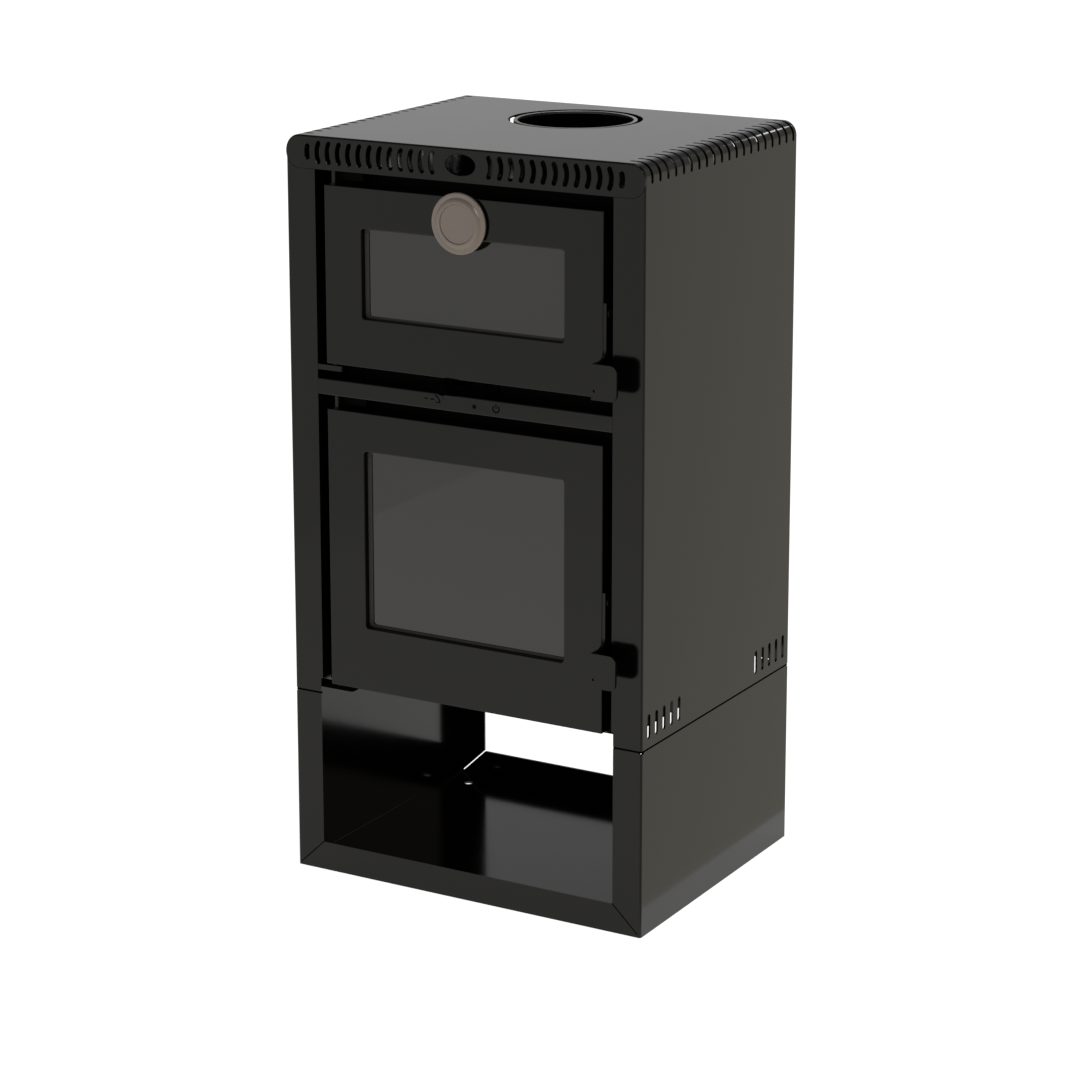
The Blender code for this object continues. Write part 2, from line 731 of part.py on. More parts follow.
def build_casing(build):
    """The folded casing: sides and top in one sheet, front posts, rear flanges, slots and vents."""
    block = outline([body_outline()], "XZ", FRONT, BODY_DEPTH)
    bm = bmesh.new()
    bm.from_mesh(block)
    bpy.data.meshes.remove(block)
    bends = []
    for edge in bm.edges:
        first, second = (vert.co for vert in edge.verts)
        at_end = abs(abs(first.y) - REAR) < FIT and abs(abs(second.y) - REAR) < FIT
        on_one_end = abs(first.y - second.y) < FIT
        low = max(first.z, second.z) < CASING_BOTTOM + FIT
        if at_end and on_one_end and not low and len(edge.link_faces) == 2:
            if edge.calc_face_angle(0) > math.radians(60):
                bends.append(edge)
    mesh = bevelled(bm, bends, BEND_RADIUS, 2)
    casing = build.add("casing", mesh, "black_paint")
    build.cut(
        casing,
        outline(
            [body_outline(-SHEET, CASING_BOTTOM - OVERRUN)],
            "XZ",
            FRONT + SHEET,
            BODY_DEPTH - SHEET - SHEET,
        ),
        "hollow",
    )
    added = []
    inner = SIDE - SHEET
    for side in (-1, 1):
        edge = side * (POST_EDGE - LAP)
        back = side * (POST_EDGE + SHEET)
        added.append(
            (
                (min(edge, back), FRONT + EDGE_STEP, CASING_BOTTOM + POST_NOTCH_HEIGHT),
                (max(edge, back), FRONT + POST_RETURN_DEPTH, GRILLE_BOTTOM - FIT),
            )
        )
        inside = side * (inner - SEAM_FOLD)
        outside = side * (inner + LAP)
        added.append(
            (
                (
                    min(inside, outside),
                    FRONT + POST_RETURN_DEPTH + LAP,
                    CASING_BOTTOM + EDGE_STEP,
                ),
                (max(inside, outside), REAR - SHEET - FIT, FOLD_TOP),
            )
        )
    build.joined(casing, boxes(added), label="returns and folds")
    build.cut(
        casing,
        box(
            (-POST_EDGE, FRONT - OVERRUN, CASING_BOTTOM - OVERRUN),
            (POST_EDGE, FRONT + POST_RETURN_DEPTH + LAP / 2, GRILLE_BOTTOM + LAP),
        ),
        "door opening",
    )
    notches = []
    for side in (-1, 1):
        near = side * (POST_EDGE - LAP)
        far = side * (POST_EDGE + POST_NOTCH_WIDTH)
        notches.append(
            (
                (min(near, far), FRONT - OVERRUN, CASING_BOTTOM - OVERRUN),
                (max(near, far), FRONT + SHEET + LAP / 2, CASING_BOTTOM + POST_NOTCH_HEIGHT),
            )
        )
    build.cut(casing, boxes(notches), "notches")
    rear_half = SIDE - REAR_FLANGE
    build.cut(
        casing,
        box(
            (-rear_half, REAR - SHEET - LAP, CASING_BOTTOM - OVERRUN),
            (rear_half, REAR + OVERRUN, BODY_TOP - REAR_FLANGE),
        ),
        "rear opening",
    )
    build.cut(
        casing,
        cylinder(
            (0, FLUE_SETBACK, BODY_TOP - SHEET - OVERRUN),
            SHEET + OVERRUN + OVERRUN,
            FLUE_HOLE_RADIUS,
            "Z",
            COLLAR_SIDES,
        ),
        "flue hole",
    )
    build.cut(casing, slot_cutters(), "slots")
    build.cut(casing, vent_cutters(), "side vents")
    build.cut(
        casing,
        outline([grille_outline(FIT)], "XZ", FRONT - OVERRUN, OVERRUN + GRILLE_THICKNESS + FIT),
        "grille seat",
    )


def slot_places():
    """The places of the wrapped slots along the casing's sides."""
    first = SLOT_ROW_SHIFT - SLOT_PITCH * (SLOT_COUNT - 1) / 2
    return [first + SLOT_PITCH * i for i in range(SLOT_COUNT)]


def merged(meshes):
    """Return one mesh of several that don't touch."""
    bm = bmesh.new()
    for mesh in meshes:
        bm.from_mesh(mesh)
        bpy.data.meshes.remove(mesh)
    return mesh_from(bm)


def slot_cutter(side, y):
    """A cutter for one slot, bent like the casing's edge and round at both ends."""
    under = BODY_TOP - SHEET - LAP
    inside = SIDE - SHEET - LAP
    over = BODY_TOP + OVERRUN
    outside = SIDE + OVERRUN
    start = SIDE - SLOT_TOP_REACH
    low = BODY_TOP - SLOT_DROP
    loop = [
        (start, under),
        (SIDE - TOP_EDGE_RADIUS, under),
        (inside, BODY_TOP - TOP_EDGE_RADIUS),
        (inside, low),
        (outside, low),
        (outside, over),
        (start, over),
    ]
    bm = bmesh.new()
    face = bm.faces.new([bm.verts.new((side * x, y - SLOT_WIDTH / 2, z)) for x, z in loop])
    grown = bmesh.ops.extrude_face_region(bm, geom=[face])["geom"]
    moved = [item for item in grown if isinstance(item, bmesh.types.BMVert)]
    bmesh.ops.translate(bm, vec=(0, SLOT_WIDTH, 0), verts=moved)
    bmesh.ops.recalc_face_normals(bm, faces=bm.faces)
    ends = []
    for edge in bm.edges:
        first, second = (vert.co for vert in edge.verts)
        at_low = max(first.z, second.z) < low + FIT and abs(first.y - second.y) < FIT
        at_start = max(abs(first.x), abs(second.x)) < start + FIT and abs(first.y - second.y) < FIT
        if at_low or at_start:
            ends.append(edge)
    return bevelled(bm, ends, SLOT_WIDTH / 2 - FIT, SLOT_END_STEPS)


def slot_cutters():
    """Cutters for both rows of slots that wrap over the casing's top edges."""
    return merged([slot_cutter(side, y) for side in (-1, 1) for y in slot_places()])


def vent_cutters():
    """Cutters for the upright vents low on both sides, near the front and the rear."""
    z = CASING_BOTTOM + VENT_LIFT + VENT_HEIGHT / 2
    loops = []
    for end in (-1, 1):
        for i in range(VENT_COUNT):
            y = end * (REAR - VENT_END_INSET - VENT_PITCH * i)
            loops.append(stadium((y, z), VENT_WIDTH, VENT_HEIGHT))
    cutters = []
    for side in (-1, 1):
        start = SIDE - SHEET - LAP if side > 0 else -SIDE - OVERRUN
        cutters.append(outline(loops, "YZ", start, SHEET + LAP + OVERRUN))
    return merged(cutters)


def build_grille(build):
    """The front grille: a plate with curved slots that bow outwards from a middle oval."""
    z = GRILLE_BOTTOM + GRILLE_HEIGHT / 2 + LOUVRE_LIFT
    loops = [grille_outline()]
    oval = []
    for i in range(ROUND_SIDES):
        angle = 2 * math.pi * i / ROUND_SIDES
        oval.append((OVAL_WIDTH / 2 * math.cos(angle), z + OVAL_HEIGHT / 2 * math.sin(angle)))
    loops.append(oval)
    for side in (-1, 1):
        for i in range(LOUVRE_COUNT):
            place = (side * (LOUVRE_FIRST + LOUVRE_PITCH * i), z)
            loops.append(louvre(place, LOUVRE_HEIGHT, LOUVRE_WIDTH, LOUVRE_SAG, side))
        last = SIDE - LOUVRE_EDGE_INSET
        loops.append(
            louvre((side * last, z), END_LOUVRE_HEIGHT, LOUVRE_WIDTH, END_LOUVRE_SAG, side)
        )
    plate = outline(loops, "XZ", FRONT, GRILLE_THICKNESS)
    build.add("top_grille", plate, "black_paint")


def build_rails(build):
    """The channel rail between the doors and the flat rail over the oven door."""
    half = POST_EDGE - FIT
    rail = build.add(
        "cross_rail",
        box((-half, FRONT, RAIL_BOTTOM), (half, FRONT + RAIL_DEPTH, RAIL_TOP)),
        "black_paint",
    )
    build.cut(
        rail,
        box(
            (-half - OVERRUN, FRONT + RAIL_SHEET, RAIL_BOTTOM + RAIL_SHEET),
            (half + OVERRUN, FRONT + RAIL_DEPTH + OVERRUN, RAIL_TOP - RAIL_SHEET),
        ),
        "channel",
    )
    hole = HINGE_PIN_RADIUS + RUNNING_FIT
    build.cut(
        rail,
        cylinder(
            (HINGE_X, HINGE_Y, RAIL_BOTTOM - OVERRUN), OVERRUN + RAIL_SHEET + LAP, hole, "Z"
        ),
        "pin hole",
    )
    shelf = build.add(
        "top_rail",
        box(
            (-half, FRONT + GRILLE_THICKNESS + FIT, TOP_RAIL_BOTTOM),
            (half, SEAL_Y - FIT, TOP_RAIL_TOP),
        ),
        "black_paint",
    )
    build.cut(
        shelf,
        cylinder(
            (HINGE_X, HINGE_Y, TOP_RAIL_BOTTOM - OVERRUN),
            OVERRUN + TOP_RAIL_THICKNESS + OVERRUN,
            hole,
            "Z",
        ),
        "pin hole",
    )


def build_rear(build):
    """The rear panel with its upper row of vents, and the air inlet collar that passes it."""
    back = REAR - SHEET - FIT
    half = SIDE - SHEET - FIT
    top = BODY_TOP - SHEET - FIT
    panel_loop = rounded_rectangle(
        (-half, FOLD_TOP + FIT),
        (half, top),
        (LAP, LAP, TOP_EDGE_RADIUS - SHEET, TOP_EDGE_RADIUS - SHEET),
    )
    loops = [panel_loop]
    inlet_hole = INLET_RADIUS + FIT
    loops.append(arc((0, INLET_Z), inlet_hole, 0, 360, ROUND_SIDES)[:-1])
    z = BODY_TOP - PANEL_VENT_DROP
    for i in range(PANEL_VENT_COUNT):
        x = PANEL_VENT_PITCH * (i - (PANEL_VENT_COUNT - 1) / 2)
        loops.append(stadium((x, z), PANEL_VENT_WIDTH, PANEL_VENT_HEIGHT))
    build.add("rear_panel", outline(loops, "XZ", back - PANEL_SHEET, PANEL_SHEET), "black_paint")
    start = JACKET_BACK + FIT
    outer = INLET_RADIUS
    bore = INLET_RADIUS - INLET_WALL
    end = REAR + INLET_REACH
    profile = [
        (outer, end),
        (outer, start + COLLAR_FLANGE_THICKNESS),
        (outer + INLET_FLANGE, start + COLLAR_FLANGE_THICKNESS),
        (outer + INLET_FLANGE, start),
        (bore, start),
        (bore, end),
    ]
    build.add(
        "air_inlet_collar", turned(profile, (0, 0, INLET_Z), "Y", ROUND_SIDES), "dark_steel"
    )


def build_frame(build):
    """The floor plate of the inner body and the door frame plate that both doors seal against."""
    half = JACKET_HALF - FLOOR_PLATE_INSET
    ear = SIDE - SHEET - FIT
    ear_front = FLOOR_EAR_SETBACK - FLOOR_EAR_WIDTH / 2
    ear_back = FLOOR_EAR_SETBACK + FLOOR_EAR_WIDTH / 2
    right = [
        (half, SEAL_Y),
        (half, ear_front),
        (ear, ear_front),
        (ear, ear_back),
        (half, ear_back),
        (half, JACKET_BACK),
    ]
    left = [(-x, y) for x, y in reversed(right)]
    build.add(
        "body_floor",
        outline([right + left], "XY", BODY_FLOOR_BOTTOM, FLOOR_PLATE),
        "dark_steel",
    )
    shoulder = BASE_HEIGHT + FRAME_SHOULDER_LIFT
    wide = SIDE - SHEET - FIT
    narrow = JACKET_HALF
    bottom = BODY_FLOOR_TOP + FIT
    loop = [
        (-narrow, bottom),
        (narrow, bottom),
        (narrow, shoulder),
        (wide, shoulder),
        (wide, TOP_RAIL_TOP),
        (-wide, TOP_RAIL_TOP),
        (-wide, shoulder),
        (-narrow, shoulder),
    ]
    loops = [loop, fire_mouth(0.0), oven_mouth(0.0)]
    for i in range(AIR_PORT_COUNT):
        x = AIR_PORT_PITCH * (i - (AIR_PORT_COUNT - 1) / 2)
        port = stadium((SLIDE_Z, x), AIR_PORT_HEIGHT, AIR_PORT_WIDTH)
        loops.append([(v, u) for u, v in port])
    build.add("door_frame_plate", outline(loops, "XZ", SEAL_Y, FRAME_THICKNESS), "black_paint")


def mouth(bottom, top, grow):
    """The loop of a door opening in the frame plate, let out by grow."""
    radius = MOUTH_RADIUS + grow
    return rounded_rectangle(
        (-MOUTH_HALF - grow, bottom + MOUTH_END_MARGIN - grow),
        (MOUTH_HALF + grow, top - MOUTH_END_MARGIN + grow),
        (radius, radius, radius, radius),
        SLOT_END_STEPS,
    )


def fire_mouth(grow):
    """The firebox opening's loop."""
    return mouth(FIRE_DOOR_BOTTOM, FIRE_DOOR_TOP, grow)


def oven_mouth(grow):
    """The oven opening's loop."""
    return mouth(OVEN_DOOR_BOTTOM, OVEN_DOOR_TOP, grow)


def build_inner_body(build):
    """The welded jacket, the oven box inside it and the flue collar on top."""
    jacket = build.add(
        "firebox_jacket",
        box((-JACKET_HALF, JACKET_FRONT, JACKET_BOTTOM), (JACKET_HALF, JACKET_BACK, JACKET_TOP)),
        "dark_steel",
    )
    build.cut(
        jacket,
        box(
            (-JACKET_INNER, JACKET_FRONT - OVERRUN, JACKET_BOTTOM + JACKET_WALL),
            (JACKET_INNER, JACKET_BACK - JACKET_WALL, JACKET_TOP - JACKET_WALL),
        ),
        "hollow",
    )
    build.cut(
        jacket,
        cylinder(
            (0, FLUE_SETBACK, JACKET_TOP - JACKET_WALL - OVERRUN),
            JACKET_WALL + OVERRUN + OVERRUN,
            COLLAR_RADIUS - COLLAR_WALL + LAP,
            "Z",
            COLLAR_SIDES,
        ),
        "flue hole",
    )
    build.cut(
        jacket,
        cylinder(
            (0, JACKET_BACK - JACKET_WALL - OVERRUN, INLET_Z),
            JACKET_WALL + OVERRUN + OVERRUN,
            INLET_RADIUS - INLET_WALL + LAP,
            "Y",
        ),
        "inlet hole",
    )
    loop_out = oven_mouth(OVEN_WALL)
    oven = build.add("oven_box", outline([loop_out], "XZ", JACKET_FRONT, OVEN_DEPTH), "dark_steel")
    build.cut(
        oven,
        outline([oven_mouth(0.0)], "XZ", JACKET_FRONT - OVERRUN, OVEN_DEPTH - OVEN_WALL + OVERRUN),
        "cavity",
    )
    ledge_z = OVEN_DOOR_BOTTOM + MOUTH_END_MARGIN + RACK_LEDGE_LIFT
    ledges = []
    for side in (-1, 1):
        inside = side * (MOUTH_HALF - RACK_LEDGE_WIDTH)
        outside = side * (MOUTH_HALF + LAP)
        ledges.append(
            (
                (min(inside, outside), JACKET_FRONT + LAP, ledge_z - RACK_LEDGE_THICKNESS),
                (max(inside, outside), JACKET_FRONT + OVEN_DEPTH - OVEN_WALL - LAP, ledge_z),
            )
        )
    build.joined(oven, boxes(ledges), label="ledges")
    bottom = JACKET_TOP + FIT
    top = BODY_TOP - COLLAR_DROP
    bore = COLLAR_RADIUS - COLLAR_WALL
    profile = [
        (COLLAR_RADIUS, top),
        (COLLAR_RADIUS, bottom + COLLAR_FLANGE_THICKNESS),
        (COLLAR_RADIUS + COLLAR_FLANGE, bottom + COLLAR_FLANGE_THICKNESS),
        (COLLAR_RADIUS + COLLAR_FLANGE, bottom),
        (bore, bottom),
        (bore, top),
    ]
    build.add("flue_collar", turned(profile, (0, FLUE_SETBACK, 0), "Z", COLLAR_SIDES), "dark_steel")


def build_hearth(build):
    """The hearth plate, grate, ash pan, firebricks, baffle and log guard."""
    half = JACKET_INNER - FIT
    front = JACKET_FRONT + FIT
    back = JACKET_BACK - JACKET_WALL - FIT
    grate_half = GRATE_OPENING_WIDTH / 2
    grate_front = JACKET_FRONT + GRATE_OPENING_SETBACK
    grate_back = grate_front + GRATE_OPENING_LENGTH
    plate = outline(
        [
            rectangle((-half, front), (half, back)),
            rectangle((-grate_half, grate_front), (grate_half, grate_back)),
        ],
        "XY",
        HEARTH_BOTTOM,
        HEARTH_THICKNESS,
    )
    build.add("hearth_plate", plate, "dark_steel")
    rim_half = grate_half + GRATE_REST
    loops = [
        rectangle((-rim_half, grate_front - GRATE_REST), (rim_half, grate_back + GRATE_REST))
    ]
    pitch = GRATE_OPENING_WIDTH / GRATE_BAR_COUNT
    for i in range(GRATE_BAR_COUNT):
        x = pitch * (i - (GRATE_BAR_COUNT - 1) / 2)
        middle = (grate_front + grate_back) / 2
        loops.append(stadium((x, middle), GRATE_BAR_GAP, GRATE_OPENING_LENGTH))
    build.add("grate", outline(loops, "XY", BRICK_BOTTOM, GRATE_THICKNESS), "cast_iron")
    brick_front = JACKET_FRONT + BRICK_FRONT_GAP
    back_face = back - BRICK_BACK_THICKNESS
    build.add(
        "brick_back",
        box((-half, back_face, BRICK_BOTTOM), (half, back, BRICK_TOP)),
        "vermiculite",
    )
    for name, side in (("left", -1), ("right", 1)):
        inside = side * (half - BRICK_SIDE_THICKNESS)
        build.add(
            f"brick_{name}",
            box(
                (min(inside, side * half), brick_front, BRICK_BOTTOM),
                (max(inside, side * half), back_face - FIT, BRICK_TOP),
            ),
            "vermiculite",
        )
        near = side * (rim_half + FIT)
        far = side * (half - BRICK_SIDE_THICKNESS - FIT)
        build.add(
            f"brick_floor_{name}",
            box(
                (min(near, far), brick_front, BRICK_BOTTOM),
                (max(near, far), back_face - FIT, BRICK_BOTTOM + BRICK_FLOOR_THICKNESS),
            ),
            "vermiculite",
        )
    build.add(
        "brick_floor_back",
        box(
            (-rim_half, grate_back + GRATE_REST + FIT, BRICK_BOTTOM),
            (rim_half, back_face - FIT, BRICK_BOTTOM + BRICK_FLOOR_THICKNESS),
        ),
        "vermiculite",
    )
    build.add(
        "baffle_plate",
        box(
            (-half, brick_front + BAFFLE_FRONT_GAP, BRICK_TOP + FIT),
            (half, back, BRICK_TOP + FIT + BAFFLE_THICKNESS),
        ),
        "vermiculite",
    )
    build_log_guard(build, rim_half, grate_front)
    build_ash_pan(build, front)


def build_log_guard(build, rim_half, grate_front):
    """An angle bar that keeps logs off the glass, standing before the grate."""
    z = BRICK_BOTTOM
    back = grate_front - GRATE_REST - FIT
    profile = [
        (back - GUARD_FOOT, z),
        (back, z),
        (back, z + GUARD_THICKNESS),
        (back - GUARD_FOOT + GUARD_THICKNESS, z + GUARD_THICKNESS),
        (back - GUARD_FOOT + GUARD_THICKNESS, z + GUARD_HEIGHT),
        (back - GUARD_FOOT, z + GUARD_HEIGHT),
    ]
    build.add("log_guard", outline([profile], "YZ", -rim_half, rim_half + rim_half), "cast_iron")


def build_ash_pan(build, front):
    """The ash pan under the grate, an open tray with a finger lip."""
    half = ASH_PAN_WIDTH / 2
    bottom = JACKET_BOTTOM + JACKET_WALL + FIT
    start = front + ASH_PAN_LIP
    pan = build.add(
        "ash_pan",
        box((-half, start, bottom), (half, start + ASH_PAN_LENGTH, bottom + ASH_PAN_HEIGHT)),
        "dark_steel",
    )
    build.cut(
        pan,
        box(
            (-half + ASH_PAN_WALL, start + ASH_PAN_WALL, bottom + ASH_PAN_WALL),
            (
                half - ASH_PAN_WALL,
                start + ASH_PAN_LENGTH - ASH_PAN_WALL,
                bottom + ASH_PAN_HEIGHT + OVERRUN,
            ),
        ),
        "hollow",
    )
    lip_top = bottom + ASH_PAN_HEIGHT - EDGE_STEP
    build.joined(
        pan,
        box(
            (-half / 2, front, lip_top - ASH_PAN_WALL),
            (half / 2, start + ASH_PAN_WALL / 2, lip_top),
        ),
        label="lip",
    )


def build_air_slide(build):
    """The sliding air valve over its ports, its rod and knob, and the two guides it runs in."""
    pivot = build.pivot("air_slide_axis", (SLIDE_REST, SLIDE_FRONT, SLIDE_Z))
    low = SLIDE_Z - SLIDE_HEIGHT / 2
    high = SLIDE_Z + SLIDE_HEIGHT / 2
    loops = [
        rectangle((SLIDE_REST - SLIDE_WIDTH / 2, low), (SLIDE_REST + SLIDE_WIDTH / 2, high))
    ]
    for i in range(AIR_PORT_COUNT):
        x = SLIDE_REST + AIR_PORT_PITCH * (i - (AIR_PORT_COUNT - 1) / 2) + AIR_PORT_PITCH / 2
        port = stadium((SLIDE_Z, x), AIR_PORT_HEIGHT, AIR_PORT_WIDTH)
        loops.append([(v, u) for u, v in port])
    slide = build.add(
        "air_slide", outline(loops, "XZ", SLIDE_FRONT, SLIDE_THICKNESS), "dark_steel", pivot
    )
    rod_front = FRONT - KNOB_LENGTH + LAP
    build.joined(
        slide,
        cylinder(
            (SLIDE_REST, rod_front, KNOB_Z),
            SLIDE_FRONT - rod_front + SLIDE_THICKNESS / 2,
            SLIDE_ROD_RADIUS,
            "Y",
            SMALL_SIDES,
        ),
        label="rod",
    )
    bore = SLIDE_ROD_RADIUS + FIT
    back = FRONT - FIT - FIT
    face = FRONT - KNOB_LENGTH
    profile = [
        (bore, back),
        (KNOB_RADIUS - LAP, back),
        (KNOB_RADIUS, back - LAP),
        (KNOB_RADIUS, face + LAP + LAP),
        (KNOB_RADIUS - LAP, face + LAP / 2),
        (KNOB_RADIUS - LAP - LAP, face),
        (0, face),
        (0, rod_front - FIT),
        (bore, rod_front - FIT),
    ]
    build.add(
        "air_knob",
        turned(profile, (SLIDE_REST, 0, KNOB_Z), "Y", ROUND_SIDES),
        "knob",
        pivot,
    )
    left = -SLIDE_WIDTH / 2 + SLIDE_REST - SLIDE_TRAVEL_LEFT
    right = SLIDE_WIDTH / 2 + SLIDE_REST + SLIDE_TRAVEL_RIGHT
    base = SEAL_Y - FIT
    lip_back = SLIDE_FRONT - FIT
    lip_front = lip_back - GUIDE_LIP_THICKNESS
    for name, edge, way in (("top", high, 1), ("bottom", low, -1)):
        inner = edge + way * FIT
        outer = inner + way * GUIDE_HEIGHT
        tip = inner - way * GUIDE_LIP
        profile = [
            (base, inner),
            (base, outer),
            (lip_front, outer),
            (lip_front, tip),
            (lip_back, tip),
            (lip_back, inner),
        ]
        build.add(f"slide_guide_{name}", outline([profile], "YZ", left, right - left), "dark_steel")


def build_hinges(build):
    """The fixed halves of the hinges: blocks, tabs and the four pins that the doors turn on."""
    block_left = HINGE_X + BLOCK_OFFSET
    block_right = block_left + BLOCK_WIDTH
    block_front = FRONT + BLOCK_FRONT_SETBACK
    block_back = SEAL_Y - FIT
    for name, top in (("oven", TOP_RAIL_BOTTOM - FIT), ("fire", RAIL_BOTTOM + RAIL_SHEET)):
        drop = BLOCK_DROP if name == "oven" else BLOCK_DROP + RAIL_SHEET - FIT
        build.add(
            f"{name}_hinge_block",
            box((block_left, block_front, top - drop), (block_right, block_back, top)),
            "dark_steel",
        )
    tab_left = -POST_EDGE + FIT
    oven_tab_top = OVEN_DOOR_BOTTOM - TAB_CLEARANCE
    build_tab(
        build,
        "oven_hinge_tab",
        (tab_left, FRONT, oven_tab_top - OVEN_TAB_THICKNESS),
        (tab_left + OVEN_TAB_WIDTH, FRONT + OVEN_TAB_DEPTH, oven_tab_top),
    )
    fire_tab_top = FIRE_DOOR_BOTTOM - TAB_CLEARANCE
    fire_tab_front = FRONT + SHEET + FIT
    build_tab(
        build,
        "fire_hinge_tab",
        (-POST_EDGE - FIRE_TAB_HIDDEN, fire_tab_front, fire_tab_top - FIRE_TAB_THICKNESS),
        (-POST_EDGE + FIRE_TAB_REACH, fire_tab_front + FIRE_TAB_DEPTH, fire_tab_top),
    )
    pins = (
        ("oven_hinge_pin_top", OVEN_DOOR_TOP - HINGE_PIN_ENGAGEMENT, TOP_RAIL_TOP + HINGE_PIN_HEAD),
        (
            "oven_hinge_pin_bottom",
            oven_tab_top - OVEN_TAB_THICKNESS,
            OVEN_DOOR_BOTTOM + HINGE_PIN_ENGAGEMENT,
        ),
        (
            "fire_hinge_pin_top",
            FIRE_DOOR_TOP - HINGE_PIN_ENGAGEMENT,
            RAIL_BOTTOM + RAIL_SHEET + HINGE_PIN_HEAD,
        ),
        (
            "fire_hinge_pin_bottom",
            fire_tab_top - FIRE_TAB_THICKNESS,
            FIRE_DOOR_BOTTOM + HINGE_PIN_ENGAGEMENT,
        ),
    )
    for name, low, high in pins:
        build.add(
            name,
            cylinder((HINGE_X, HINGE_Y, low), high - low, HINGE_PIN_RADIUS, "Z"),
            "bare_steel",
        )


def build_tab(build, name, low, high):
    """A hinge tab with a rounded free end and a hole for its pin."""
    loop = rounded_rectangle(
        (low[0], low[1]), (high[0], high[1]), (FIT, TAB_END_RADIUS, TAB_END_RADIUS, FIT), ARC_STEPS
    )
    thickness = high[2] - low[2]
    tab = build.add(name, outline([loop], "XY", low[2], thickness), "black_paint")
    build.cut(
        tab,
        cylinder(
            (HINGE_X, HINGE_Y, low[2] - OVERRUN),
            thickness + OVERRUN + OVERRUN,
            HINGE_PIN_RADIUS + RUNNING_FIT,
            "Z",
        ),
        "pin hole",
    )


def build_keeper(build, name, pivot_z):
    """A keeper stud on the right post's return, for a door's hook to close under."""
    y = FRONT + KEEPER_SETBACK
    z = pivot_z + KEEPER_LIFT
    start = DOOR_HALF + KEEPER_END_GAP
    end = POST_EDGE - FIT
    flange = end - KEEPER_FLANGE_THICKNESS
    profile = [
        (0, end),
        (KEEPER_FLANGE_RADIUS, end),
        (KEEPER_FLANGE_RADIUS, flange),
        (KEEPER_RADIUS, flange),
        (KEEPER_RADIUS, start),
        (0, start),
    ]
    build.add(name, turned(profile, (0, y, z), "X", SMALL_SIDES), "bare_steel")


class Door:
    """One glazed door: its levels, its window and the names of its pieces."""

    def __init__(self, name, bottom, top, window_bottom, window_top, pivot_lift):
        self.name = name
        self.bottom = bottom
        self.top = top
        self.window_low = (-WINDOW_HALF, bottom + window_bottom)
        self.window_high = (WINDOW_HALF, top - window_top)
        self.pivot_z = bottom + pivot_lift

    def window(self, grow):
        """The window's loop, let out by grow."""
        radius = max(WINDOW_RADIUS + grow, LAP)
        return rounded_rectangle(
            (self.window_low[0] - grow, self.window_low[1] - grow),
            (self.window_high[0] + grow, self.window_high[1] + grow),
            (radius, radius, radius, radius),
            SLOT_END_STEPS,
        )


